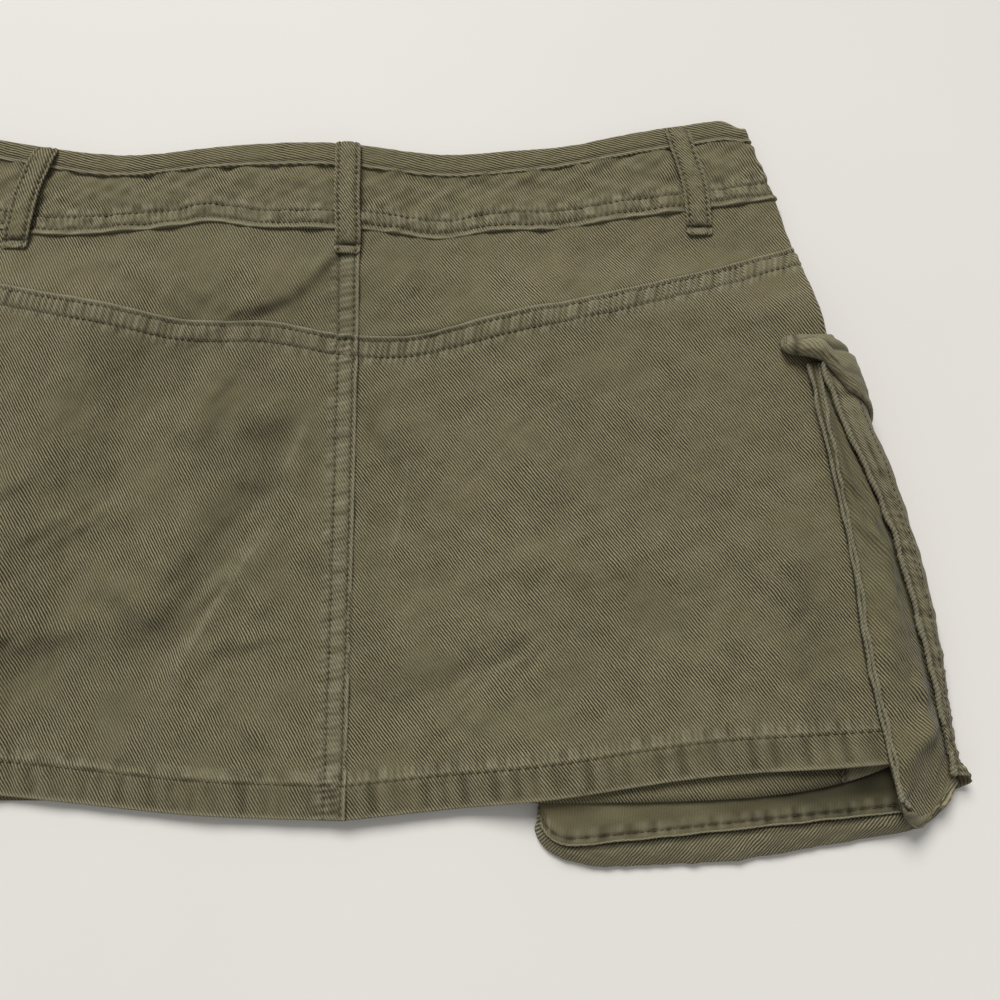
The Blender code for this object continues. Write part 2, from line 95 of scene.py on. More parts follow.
# A quarter of the way round at each height, and how far to the left of the side seams the folds lie there
Quarter = namedtuple("Quarter", "y length turn")
QUARTERS = (
    Quarter(-0.2, 0.2645, 0.027),
    Quarter(-0.13, 0.2585, 0.024),
    Quarter(-0.06, 0.2475, 0.019),
    Quarter(0.0, 0.2385, 0.015),
    Quarter(0.06, 0.2248, 0.011),
    Quarter(0.1, 0.2143, 0.01),
    Quarter(0.13, 0.2045, 0.009),
    Quarter(0.17, 0.1893, 0.008),
)

# Slack waves of a seam line: place across the back, below 0 to the left and 1 at the fold, spread and
# depth.
Wave = namedtuple("Wave", "place spread depth")
TOP_WAVES = (
    Wave(0.25, 0.2, 0.0059),
    Wave(0.53, 0.15, 0.0038),
    Wave(1.0, 0.03, 0.006),
    Wave(-0.56, 0.2, 0.0078),
    Wave(-0.83, 0.21, 0.0056),
)
BINDING_WAVES = (
    Wave(0.24, 0.19, 0.0056),
    Wave(0.5, 0.16, 0.0034),
    Wave(-0.58, 0.185, 0.0078),
    Wave(-0.84, 0.18, 0.0036),
    Wave(1.0, 0.04, 0.0028),
)
WAIST_WAVES = (
    Wave(0.2, 0.11, 0.005),
    Wave(0.47, 0.12, 0.003),
    Wave(-0.32, 0.07, -0.0036),
    Wave(-0.68, 0.19, 0.0068),
)
YOKE_WAVES = (Wave(0.12, 0.08, 0.0016), Wave(-0.18, 0.11, -0.0044))
HEM_WAVES = (Wave(0.66, 0.22, -0.0032), Wave(-0.22, 0.2, 0.0024))

# A seam line round the garment: its height at the centre back, its rise to each fold, and its line in
# front.
Row = namedtuple("Row", "centre rise_right rise_left power front_centre front_power waves")
TOP = Row(0.157, 0.014, 0.012, 2.2, 0.143, 1.6, TOP_WAVES)
BINDING = Row(0.147, 0.0155, 0.012, 2.2, 0.133, 1.6, BINDING_WAVES)
WAIST = Row(0.115, 0.0155, 0.01, 2.0, 0.102, 1.6, WAIST_WAVES)
YOKE = Row(0.062, 0.042, 0.036, 1.55, 0.062, 1.6, YOKE_WAVES)
HEM = Row(-0.15, 0.023, 0.02, 1.1, -0.143, 8.0, HEM_WAVES)

# Creases: the middle of each, its direction in degrees, half its length, how wide it is to its left
# and to its right, its height, below 0 for a trough, and how far it bows to its left.
Crease = namedtuple("Crease", "x y angle reach left right height bow", defaults=(0.0,))
CREASES = (
    # the left yoke
    Crease(-0.0445, 0.0782, 17, 0.019, 0.008, 0.003, 0.0022, -0.001),
    Crease(-0.0225, 0.09, 38, 0.014, 0.007, 0.0036, 0.0013, -0.001),
    Crease(-0.013, 0.0985, 52, 0.01, 0.004, 0.0024, 0.0012),
    Crease(-0.01, 0.088, 60, 0.01, 0.004, 0.003, 0.0008),
    Crease(-0.07, 0.085, 22, 0.024, 0.009, 0.008, 0.0012),
    Crease(-0.072, 0.064, 25, 0.014, 0.005, 0.0026, 0.001),
    Crease(-0.105, 0.093, -28, 0.022, 0.006, 0.0045, 0.0008, 0.002),
    Crease(-0.134, 0.09, 40, 0.02, 0.006, 0.004, 0.0008),
    # the left panel
    Crease(-0.04, 0.0225, 12, 0.019, 0.009, 0.0056, 0.0013, 0.001),
    Crease(-0.04, -0.004, 6, 0.016, 0.006, 0.005, 0.001),
    Crease(-0.024, 0.006, 84, 0.018, 0.006, 0.005, 0.0012),
    Crease(-0.066, 0.035, 66, 0.03, 0.011, 0.006, 0.0018, -0.002),
    Crease(-0.067, -0.031, 57, 0.044, 0.012, 0.009, 0.002, 0.004),
    Crease(-0.057, -0.059, 62, 0.066, 0.0042, 0.014, 0.0026),
    Crease(-0.09, -0.067, 30, 0.018, 0.008, 0.006, 0.0016),
    Crease(-0.104, -0.056, -20, 0.016, 0.007, 0.0046, 0.0012, 0.002),
    Crease(-0.134, -0.07, 6, 0.028, 0.008, 0.0052, 0.0018, -0.003),
    Crease(-0.16, -0.014, 25, 0.02, 0.006, 0.0036, 0.0018),
    Crease(-0.12, -0.02, 17, 0.04, 0.006, 0.007, 0.0013, -0.004),
    Crease(-0.043, -0.076, 12, 0.02, 0.004, 0.0026, 0.001),
    Crease(-0.04, -0.115, -41, 0.012, 0.004, 0.0022, 0.001),
    Crease(-0.2, -0.05, 50, 0.045, 0.011, 0.006, 0.0018, 0.005),
    Crease(-0.185, 0.025, 25, 0.03, 0.009, 0.006, 0.0014, 0.003),
    # the right panel
    Crease(0.018, 0.008, -63, 0.024, 0.0038, 0.0038, -0.0009, -0.003),
    Crease(0.006, 0.03, -70, 0.018, 0.004, 0.003, 0.0008),
    Crease(0.03, 0.066, 8, 0.02, 0.004, 0.0026, 0.001),
    Crease(0.07, 0.005, 43, 0.04, 0.012, 0.024, 0.0007, 0.002),
    Crease(0.108, -0.0475, -2, 0.054, 0.012, 0.006, 0.001, 0.003),
    Crease(0.048, -0.081, 18, 0.048, 0.013, 0.0072, 0.0013, 0.001),
    Crease(0.057, -0.099, 25, 0.044, 0.0056, 0.015, 0.0013),
    Crease(0.188, -0.072, 88, 0.036, 0.02, 0.009, 0.0014),
    # the right yoke
    Crease(0.024, 0.093, 78, 0.018, 0.008, 0.005, 0.0008),
    Crease(0.095, 0.096, 80, 0.018, 0.009, 0.006, 0.0008),
    Crease(0.13, 0.098, 62, 0.02, 0.009, 0.006, 0.0008),
)
# Sharp worn crests along folds, given as creases, with how worn each is in place of its height.
CRESTS = (
    Crease(-0.052, -0.0564, 58, 0.046, 0.0012, 0.001, 0.55, 0.0036),
    Crease(-0.0261, 0.0102, 66, 0.013, 0.0014, 0.001, 0.4),
    Crease(-0.044, -0.002, 75, 0.012, 0.0014, 0.001, 0.2),
    Crease(0.091, 0.028, 18, 0.02, 0.001, 0.001, 0.24),
    Crease(0.06, -0.09, 22, 0.022, 0.0012, 0.0012, 0.22),
    Crease(0.02, -0.02, 80, 0.024, 0.0012, 0.0012, 0.24, -0.002),
)
CREST_UP = 0.0008  # how far a wholly worn crest stands up
CREASE_ENDS = (0.35, 1.25)  # where a crease starts to end, and where it has ended, in half lengths
CREASE_UNEVEN = 0.3  # how uneven it is in height, and over what length
CREASE_UNEVEN_LENGTH = 0.015
CREASE_SWAY = 0.2  # how far it sways, as a share of its width, and over what length
CREASE_SWAY_LENGTH = 0.012
CREASE_PAINTED_SHADE = 0.3  # how much painted shade its steep right side has, for its slope
CREASE_PAINTED_SHADE_AT = 0.9  # how far down that side the painted shade is darkest, in widths of it

# Painted shade where the back's folds lie in shade: the middle of each place, its direction, half its
# length and width, how dark
Shade = namedtuple("Shade", "x y angle reach width dark")
SHADE_UNEVEN = 0.35
SHADE_UNEVEN_SIZE = 0.016
SHADES = (
    Shade(-0.034, 0.018, 8, 0.014, 0.007, 0.1),
    Shade(-0.04, -0.007, 4, 0.015, 0.005, 0.09),
    Shade(-0.037, 0.006, 66, 0.018, 0.009, 0.12),
    Shade(-0.05, 0.016, 66, 0.04, 0.022, 0.16),
    Shade(-0.064, -0.036, 60, 0.044, 0.01, 0.15),
    Shade(-0.095, -0.069, 14, 0.034, 0.013, 0.16),
    Shade(-0.15, -0.076, 4, 0.034, 0.013, 0.12),
    Shade(-0.11, -0.1, 5, 0.11, 0.04, 0.05),
    Shade(-0.076, 0.056, 12, 0.026, 0.008, 0.14),
    Shade(-0.045, 0.0755, 17, 0.013, 0.0018, 0.26),
    Shade(-0.015, 0.094, 43, 0.008, 0.0016, 0.14),
    Shade(-0.012, 0.098, 70, 0.012, 0.005, 0.14),
    Shade(0.009, -0.04, 90, 0.095, 0.006, 0.08),
    Shade(0.022, 0.002, -65, 0.036, 0.009, 0.1),
    Shade(0.1, 0.025, 0, 0.07, 0.022, 0.04),
    Shade(0.11, -0.056, -2, 0.056, 0.011, 0.07),
    Shade(0.04, -0.088, 18, 0.044, 0.01, 0.07),
    Shade(0.201, -0.073, 97, 0.044, 0.013, 0.16),
)

# Folds of a pocket's bellows: x runs down its inner seam from the mouth and on along the foot, and y is 0
# at that seam and below 0 towards the outer one.
BELLOWS_FOLDS = (
    Crease(0.034, -0.0064, -4, 0.018, 0.004, 0.0022, 0.0022),
    Crease(0.056, -0.011, -26, 0.014, 0.0046, 0.0024, 0.0032),
    Crease(0.06, -0.006, -6, 0.02, 0.003, 0.0024, 0.0014),
    Crease(0.08, -0.015, -8, 0.016, 0.006, 0.0028, 0.0034),
    Crease(0.11, -0.016, -4, 0.024, 0.007, 0.0036, 0.003, 0.001),
    Crease(0.118, -0.008, -12, 0.02, 0.0046, 0.0036, 0.0012),
    Crease(0.14, -0.011, -20, 0.014, 0.006, 0.004, 0.0018),
    Crease(0.152, -0.0205, 4, 0.02, 0.005, 0.003, 0.0024),
    Crease(0.169, -0.015, 66, 0.014, 0.006, 0.0034, 0.003),
    Crease(0.184, -0.007, 24, 0.01, 0.004, 0.0026, 0.0018),
    Crease(0.196, -0.015, -60, 0.012, 0.005, 0.0028, 0.0016),
    Crease(0.222, -0.008, -70, 0.01, 0.005, 0.003, 0.001),
    Crease(0.262, -0.008, -60, 0.01, 0.006, 0.004, 0.0007),
)

# Belt loops: the middle of the top and bottom ends, seen from above, how far the loop bows to +X between
# them, and whether it lies under the front.
Loop = namedtuple("Loop", "name top_x top_y bottom_x bottom_y bow under")
LOOPS = (
    Loop("belt_loop_back_centre", -0.0053, 0.158, -0.0045, 0.1012, 0.0002, False),
    Loop("belt_loop_back_right", 0.1495, 0.166, 0.1593, 0.111, 0.0018, False),
    Loop("belt_loop_back_left", -0.1475, 0.156, -0.1594, 0.1045, -0.0016, False),
    Loop("belt_loop_front_right", 0.082, 0.144, 0.084, 0.098, 0.0, True),
    Loop("belt_loop_front_left", -0.114, 0.143, -0.118, 0.097, 0.0, True),
)
LOOP_WIDTH = 0.0118

# Bellows pocket: its backing, from the mouth down to a sloping foot, with the ridge as its back edge
POCKET_WIDTH = 0.153
MOUTH_Y = 0.046
POCKET_FOOT_Y = -0.146
FOOT_SLOPE = 0.1
RIDGE_TOP = 0.2025
RIDGE_SLOPE = 0.17
RIDGE_BOW = 0.004  # the ridge bows in this much, from and by these heights
RIDGE_BOW_Y = (-0.03, -0.09)
RIDGE_CORNER = 0.004
CORNER = 0.016

# Its face hangs lower than the backing, and its foot slants up at the back to a tighter tip.
FACE_DROP = 0.0095
FACE_CORNER = 0.085
FACE_LIFT = 0.0115
TIP_CORNER = 0.022
TIP_LIFT = 0.012
SLANT_START = 1.985  # where the slant starts round the face, and the largest share of the face that it takes
SLANT_MOST = 0.6

# Its bellows hangs out at the corner by this much down, outwards and towards the ground, and this far
# along.
LOBE_DOWN = 0.0155
LOBE_OUT = -0.002
LOBE_SINK = 0.006
LOBE_REACH = 0.013
SKEW_REACH = 0.03  # the foot's lines run straight across it from this far past its corner
SKEW_END = 0.045  # until this near its other end
BELLOWS_SWELL = {RIGHT: 0.09, LEFT: 0.03}  # how far it swells, as a share of its width

# Its flap, from its seam down, and how far it passes the ridge, the bellows and the front edge
FLAP_SEAM_Y = 0.061
FLAP_DROP = 0.058
FLAP_OVERHANG = 0.009
FLAP_BEHIND = 0.018
FLAP_PAST = 0.03  # as a share of the way under the bag
FLAP_ROLLED = 0.16  # the share of its drop that the rolled end keeps
FLAP_ROLL_END = 2.3  # where round the bag the roll has opened
FLAP_REACH = 0.009  # how far down it has come away from the skirt to the bag
FLAP_SLACK = 0.004
FLAP_STEP = 0.013  # the face steps down off the flap over this height

# The bag at each height: where the bellows meets the face, and how far out the face bulges
Bag = namedtuple("Bag", "y seam_x seam_z bulge_x")
BAGS = {
    RIGHT: (
        Bag(-0.18, 0.259, 0.0078, 0.26),
        Bag(-0.125, 0.256, 0.0095, 0.2592),
        Bag(-0.1, 0.2515, 0.0108, 0.2578),
        Bag(-0.05, 0.241, 0.0132, 0.2515),
        Bag(-0.022, 0.2335, 0.0148, 0.245),
        Bag(0.0, 0.224, 0.0177, 0.2375),
        Bag(0.02, 0.2155, 0.0188, 0.2305),
        Bag(0.045, 0.2085, 0.019, 0.2225),
        Bag(0.07, 0.2055, 0.019, 0.212),
    ),
    LEFT: (
        Bag(-0.18, 0.2595, 0.018, 0.3015),
        Bag(-0.125, 0.2545, 0.0195, 0.293),
        Bag(-0.08, 0.2445, 0.0195, 0.283),
        Bag(-0.03, 0.2335, 0.0195, 0.271),
        Bag(0.02, 0.2225, 0.0195, 0.259),
        Bag(0.07, 0.2115, 0.019, 0.248),
    ),
}

# Seams: where each stitch line lies from its edge
OVERLAP = 0.0012  # how far a lapped edge lies over its neighbour
HEM_DEPTH = 0.0148
HEM_STITCHES = HEM_DEPTH - 0.0008
WAIST_STITCHES = (0.003, 0.009)
YOKE_STITCHES = (0.0022, 0.0098)
CENTRE_STITCHES = (0.0022, 0.0094)
STITCH_PITCH = 0.0029
HEM_PITCH = 0.0036

# Twill
TWILL_PERIOD = 0.00115
TWILL_ANGLE = 56.0  # how steeply the lines fall to the right


# Uneven waves
RIPPLE_WAVES = ((1.0, 2.4), (1.31, 4.1), (1.73, 5.9))  # how much longer than the first each is, and its phase
MOTTLE_WAVES = 6
MOTTLE_TURN = 2.4  # from one wave's direction to the next one's
MOTTLE_GROWTH = 0.13  # how much longer each wave is than the last, as a share of the first
MOTTLE_HIGH = 2.4  # about how high they all are together


# The laid form


def smooth(low, high, value):
    """0 below low, 1 above high, and a soft step between."""
    share = np.clip((value - low) / (high - low), 0.0, 1.0)
    return share * share * (3.0 - 2.0 * share)


def hump(value):
    """1 at 0, and a soft fall to 0 past 1 each way."""
    return np.exp(-value * value)


def rounding(near):
    """How far a round corner draws an edge in: 1 at its end, down to 0 where the corner starts, at near
    1."""
    return 1 - np.sqrt(1 - (1 - near) ** 2)


def ripple(value, wavelength, seed):
    """A smooth uneven wave, about 1 high."""
    turns = 2 * np.pi * value / wavelength
    return sum(np.sin(turns / longer + seed * phase) for longer, phase in RIPPLE_WAVES) / 2


def mottle(x, y, size, seed):
    """Smooth uneven bumps of about one size all ways, about 1 high."""
    total = 0.0
    for k in range(MOTTLE_WAVES):
        turn = seed + MOTTLE_TURN * k
        wavelength = size * (1 + MOTTLE_GROWTH * k)
        total = total + np.sin(2 * np.pi * (x * np.cos(turn) + y * np.sin(turn)) / wavelength + seed * k)
    return total / MOTTLE_HIGH


def read(table, name, y):
    """A column of a table of heights, read at y along a soft curve through its rows."""
    levels = np.array([row.y for row in table])
    values = np.array([getattr(row, name) for row in table])
    slopes = np.gradient(values, levels)
    row = np.clip(np.searchsorted(levels, y) - 1, 0, len(levels) - 2)
    step = levels[row + 1] - levels[row]
    t = np.clip((y - levels[row]) / step, 0.0, 1.0)
    start = (1 + 2 * t) * (1 - t) ** 2 * values[row] + t * (1 - t) ** 2 * step * slopes[row]
    end = t * t * (3 - 2 * t) * values[row + 1] + t * t * (t - 1) * step * slopes[row + 1]
    return start + end


def quarter(y):
    """A quarter of the way round the garment."""
    return read(QUARTERS, "length", y)


def fold_x(side, y):
    """How far from the centre line a side's fold starts."""
    return quarter(y) - side * read(QUARTERS, "turn", y) - FOLD_ROUND / 2


def centre_front(y):
    """Where the centre front lies, which the turned side seams bring to the left."""
    return -2 * read(QUARTERS, "turn", y)


def ridge_x(y):
    """The pocket's back edge, where the bellows is sewn to the back panel."""
    return RIDGE_TOP + RIDGE_SLOPE * (MOUTH_Y - y) - RIDGE_BOW * smooth(*RIDGE_BOW_Y, y)


def front_edge(y):
    """How far round from the centre back the pocket's front edge is."""
    return RIDGE_TOP + RIDGE_SLOPE * (MOUTH_Y - y) + POCKET_WIDTH


def bag_front_x(side, y):
    """The pocket's front edge, under the front, from the centre line."""
    y = np.minimum(y, FLAP_SEAM_Y)
    return 2 * fold_x(side, y) + FOLD_ROUND - front_edge(y)


def slope_ends(side, y):
    """Where the slope up to the pocket starts and ends, from the centre line."""
    edge = bag_front_x(side, y)
    return edge - SLOPE_BEFORE, np.minimum(edge + SLOPE_PAST, quarter(y) - CORNER)


def pillow(x, y):
    """How much of a pocket's thickness lies under the layers at (x, y), 0 to 1."""
    right = smooth(*slope_ends(RIGHT, y), x)
    left = smooth(*slope_ends(LEFT, y), -x)
    return np.maximum(right, left) * smooth(*SLOPE_TOP, y)


def front_height(x, y):
    """Height of the front's middle over the ground."""
    return FRONT_BASE + WAIST_LIFT * smooth(*WAIST_LIFT_Y, y) + POCKET_LIFT * pillow(x, y)


def beside(crease, x, y):
    """How far to the left of a crease (x, y) lies, and how much of the crease there is there, 0 to 1."""
    turn = np.radians(crease.angle)
    along = ((x - crease.x) * np.cos(turn) + (y - crease.y) * np.sin(turn)) / crease.reach
    across = (y - crease.y) * np.cos(turn) - (x - crease.x) * np.sin(turn)
    return across - crease.bow * (1 - along**2), 1 - smooth(*CREASE_ENDS, np.abs(along))


def creased(creases, x, y):
    """How far some creases raise the cloth at (x, y)."""
    total = np.zeros(np.broadcast(x, y).shape)
    for number, crease in enumerate(creases):
        across, share = beside(crease, x, y)
        uneven = 1 + CREASE_UNEVEN * ripple(x + y, CREASE_UNEVEN_LENGTH, number)
        across = across + CREASE_SWAY * crease.right * ripple(x - y, CREASE_SWAY_LENGTH, number + 1)
        width = np.where(across > 0, crease.left, crease.right)
        total += crease.height * uneven * hump(across / width) * share
    return total


def painted_crease_shade(creases, x, y):
    """Painted shade on the steep right sides of some creases and the bottoms of their troughs, at (x, y)."""
    total = np.zeros(np.broadcast(x, y).shape)
    for crease in creases:
        if crease.right <= crease.left:
            across, share = beside(crease, x, y)
            width = CREASE_PAINTED_SHADE_AT * crease.right
            down = width if crease.height > 0 else 0.0
            slope = abs(crease.height) / crease.right
            total += CREASE_PAINTED_SHADE * slope * hump((across + down) / width) * share
    return total


def crested(x, y):
    """How worn the back is along its crests at (x, y)."""
    total = np.zeros(np.broadcast(x, y).shape)
    for crest in CRESTS:
        across, share = beside(crest, x, y)
        total += crest.height * hump(across / np.where(across > 0, crest.left, crest.right)) * share
    return total


def painted_shade_patches(x, y):
    """How much painted shade darkens the back at (x, y)."""
    total = np.zeros(np.broadcast(x, y).shape)
    for number, shade in enumerate(SHADES):
        turn = np.radians(shade.angle)
        along = ((x - shade.x) * np.cos(turn) + (y - shade.y) * np.sin(turn)) / shade.reach
        across = ((y - shade.y) * np.cos(turn) - (x - shade.x) * np.sin(turn)) / shade.width
        uneven = 1 + SHADE_UNEVEN * mottle(x, y, SHADE_UNEVEN_SIZE, number)
        total += shade.dark * hump(along) * hump(across) * uneven
    return total


def back_height(x, y):
    """Height of the back's middle over the ground."""
    hem = hump((x - HEM_LIFT_X) / HEM_LIFT_REACH) * smooth(*HEM_LIFT_Y, y)
    fly = hump((x - centre_front(y)) / FLY_LIFT_REACH) * smooth(*FLY_LIFT_Y, y)
    curl = hump((x - CURL_X) / CURL_REACH) * smooth(*CURL_Y, y)
    lift = HEM_LIFT * hem + FLY_LIFT * fly + CURL * curl
    return front_height(x, y) + LAYER_STEP + lift + creased(CREASES, x, y)


def lay(side, distance, y, out=0.0):
    """The point of the laid cloth that is this distance from the centre line towards one side, on the
    back, over the fold and on under the front, at height y and out metres proud of the cloth's middle."""
    distance, y, out = np.broadcast_arrays(distance, y, out)
    fold = fold_x(side, y)
    radius = LAYER_STEP / 2
    turn = np.clip((distance - fold) / radius, 0.0, np.pi)
    before = turn <= 0
    after = turn >= np.pi
    x = fold + (radius + out) * np.sin(turn)
    x = np.where(before, distance, x)
    x = np.where(after, 2 * fold + FOLD_ROUND - distance, x)
    z = front_height(side * fold, y) + radius + (radius + out) * np.cos(turn)
    z = np.where(before, back_height(side * x, y) + out, z)
    z = np.where(after, front_height(side * x, y) - out, z)
    return np.stack([side * x, y, z], axis=-1)


def row_level(row, side):
    """Height of a seam line where it meets the fold."""
    return row.centre + (row.rise_right if side == RIGHT else row.rise_left)


def slack(row, side, place):
    """How far its waves lower a seam line at a place across the back, 0 at the centre and 1 at the fold."""
    return sum(wave.depth * hump((side * place - wave.place) / wave.spread) for wave in row.waves)


def row_y(row, side, distance):
    """Height of a seam line at a distance round from the centre back."""
    level = row_level(row, side)
    fold = fold_x(side, level)
    folded = fold + FOLD_ROUND
    place = np.clip(np.abs(distance) / fold, 0.0, 1.0)
    back = row.centre + (level - row.centre) * place**row.power - slack(row, side, place)
    at_fold = level - slack(row, side, 1.0)
    share = np.clip((2 * quarter(level) - distance) / (2 * quarter(level) - folded), 0.0, 1.0)
    front = row.front_centre + (at_fold - row.front_centre) * share**row.front_power
    return np.where(distance < folded, back, front)


# Grids of points


def places(steps):
    """Places through a row of knots, which count up from 0, with a number of even steps between each
    two."""
    runs = [np.zeros(1)]
    for knot, count in enumerate(steps):
        runs.append(knot + np.linspace(0.0, 1.0, count + 1)[1:])
    return np.concatenate(runs)[:, None]


def through(knots, place):
    """The value at a place along a row of knots."""
    value = knots[0]
    for knot, (low, high) in enumerate(zip(knots[:-1], knots[1:])):
        value = value + (high - low) * np.clip(place - knot, 0.0, 1.0)
    return value


Ladder = namedtuple("Ladder", "share offset")


def ladder(near, middle, far):
    """Lines of a grid from one edge to another: some at set distances from the first edge, even ones
    between, and some at set distances from the last."""
    near, far = np.array(near), np.array(far)
    between = np.linspace(0.0, 1.0, middle + 1)[1:-1]
    share = np.concatenate([0 * near, between, 0 * far + 1])
    offset = np.concatenate([near, near[-1] * (1 - between) - far[-1] * between, -far[::-1]])
    return Ladder(share, offset)


def rung(rows, distance):
    """The number of a ladder's line at a set distance from its first edge, or before its last if below
    0."""
    wanted = np.where(rows.share == (0.0 if distance >= 0 else 1.0), rows.offset, np.inf)
    return int(np.argmin(np.abs(wanted - distance)))


def even(start, end, step):
    """Distances from start to end in even steps."""
    return list(np.arange(round((end - start) / step) + 1) * step + start)


def travelled(points, axis=0):
    """How far along a line or a grid of points each one lies."""
    steps = np.linalg.norm(np.diff(points, axis=axis), axis=-1)
    return np.insert(np.cumsum(steps, axis=axis), 0, 0.0, axis=axis)


def at_travel(points, travel, wanted):
    """The points of a line at some distances along it."""
    return np.stack([np.interp(wanted, travel, points[:, k]) for k in range(3)], axis=-1)


def unit(vectors):
    """Vectors 1 long in the same directions."""
    return vectors / np.maximum(np.linalg.norm(vectors, axis=-1, keepdims=True), TINY)


TINY = 1e-12
CENTRE_BAND = 0.0112  # the columns lie closer beside the centre seam
CENTRE_STEPS = 16
PANEL_STEPS = (24, 36, 96)  # columns up to the slope, on it and up to the fold
FRONT_STEPS = (34, 16, 26)
FINE_FOLD = 8  # columns round a fold, and from there to the side seam
BESIDE = 8
PANEL_FINE = 1.7  # how much closer the columns of the back's panels lie, and of its yokes and waistbands
BAND_FINE = 2.0
HAIR = 0.00005  # what is left open at a plain seam


def back_stations(side, y, lap, fine):
    """Distances across the back, from the centre back to the side seam, starting a lap before the
    centre."""
    middle = [round(fine * count) for count in PANEL_STEPS]
    fold = fold_x(side, y)
    start, end = slope_ends(side, y)
    knots = [HAIR - lap, CENTRE_BAND, start, end]
    if side == LEFT:
        return through([*knots, quarter(y) - HAIR], places((CENTRE_STEPS, *middle)))
    knots += [fold, fold + FOLD_ROUND, quarter(y) - HAIR]
    return through(knots, places((CENTRE_STEPS, *middle, FINE_FOLD, BESIDE)))


def front_stations(side, y):
    """Distances under the front, from the side seam to the centre front."""
    fold = fold_x(side, y)
    start, end = slope_ends(side, y)
    under = [2 * fold + FOLD_ROUND - end, 2 * fold + FOLD_ROUND - start, 2 * quarter(y)]
    if side == RIGHT:
        return through([quarter(y) + HAIR, *under], places(FRONT_STEPS))
    knots = [quarter(y) + HAIR, fold, fold + FOLD_ROUND, *under]
    return through(knots, places((BESIDE, FINE_FOLD, *FRONT_STEPS)))


Laid = namedtuple("Laid", "side distance y top foot rows")


def laid(side, stations, upper, lower, rows, **extra):
    """Places of a grid between two seam lines: how far round each point is, how high, and how far from each
    line."""
    share, offset = rows
    level = row_level(upper, side) * (1 - share) + row_level(lower, side) * share - offset
    distance = stations(side, level, **extra)
    y = row_y(upper, side, distance) * (1 - share) + row_y(lower, side, distance) * share - offset
    distance = stations(side, y, **extra)
    return Laid(side, distance, y, row_y(upper, side, distance) - y, y - row_y(lower, side, distance), rows)


# Relief

# A line along an edge: how far from it, how wide, how far down it goes, its painted shade and how worn it is
Mark = namedtuple("Mark", "at width down dark worn", defaults=(0.0, 0.0, 0.0))

# A furrow and the holes of its stitches, both darkened with painted shade
FURROW_DEPTH = 0.00032
FURROW_WIDTH = 0.0008
FURROW_SHADE = 0.12
HOLE_DEPTH = 0.00035
HOLE_SHADE = 0.6
HOLE_SHARP = 4  # how sharply a hole ends along its furrow

# A rolled edge: how far in it lies, how high and how wide it is; how uneven, over what length, and how worn
Roll = namedtuple("Roll", "at height width")
LAP_ROLL = Roll(0.0006, 0.00022, 0.0008)
BINDING_ROLL = Roll(0.0006, 0.0003, 0.0006)
ROLL_UNEVEN = 0.22
ROLL_LENGTH = 0.0088
ROLL_WORN = 0.8
ROLL_MOST_WORN = 1.2  # as a share of that, where it is highest

# Puckers between stitch lines: those that follow the stitches, the freer ones, and how they start and end
LEAN = 0.15  # how far puckers and hem ropes lean, for how far in they lie
PUCKER_DEPTH = 0.00055
SOFT_PUCKER = PUCKER_DEPTH / 2
PUCKER_STITCHED = 0.55
PUCKER_FREE = 0.6
PUCKER_LENGTH = 0.00672
PUCKER_DRIFT = 0.0006
PUCKER_DRIFT_LENGTH = 0.019
PUCKER_BEFORE = 0.0006
PUCKER_FULL = 0.0015
PUCKER_PAST = 0.001
PUCKER_WORN = (0.14, 0.46)  # how worn all of the band is, and how much more its crests are
# painted shade in the puckers' hollows
PUCKER_SHADE = 0.38

# A lapped seam
LAP_UP = 0.0005  # how far the cloth stands up at a lapped edge, and how much more at its very edge
LAP_LIP = 0.15
LAP_END = 0.0125  # how far in it has come down again, and the share of that where it starts to
LAP_LEVEL = 0.35
PAST_LAP = 0.004  # soft puckers go on this far past it

# A turned hem, its ropes and its worn fold
HEM_UP = 0.0006
HEM_STEP = 0.0018
ROPE_LENGTH = 0.0076
ROPE_UP = 0.00045
ROPE_FADE = 0.003  # over this height the ropes start at the fold and end at the stitches
ROPE_WORN = 0.16
ROPE_DARK = (0.15, 0.3)  # how dark all of the band is, and how much more painted shade its hollows have
HEM_FOLD = Mark(0.0, 0.0013, worn=0.55)
PAST_HEM = 0.005
SEAM = (Mark(0.0, 0.0011, down=0.0006), Mark(0.0, 0.0008, dark=0.6))  # a plain seam's trough, and the painted shade along it
FINER = 0.4  # the size of the finer half of slack


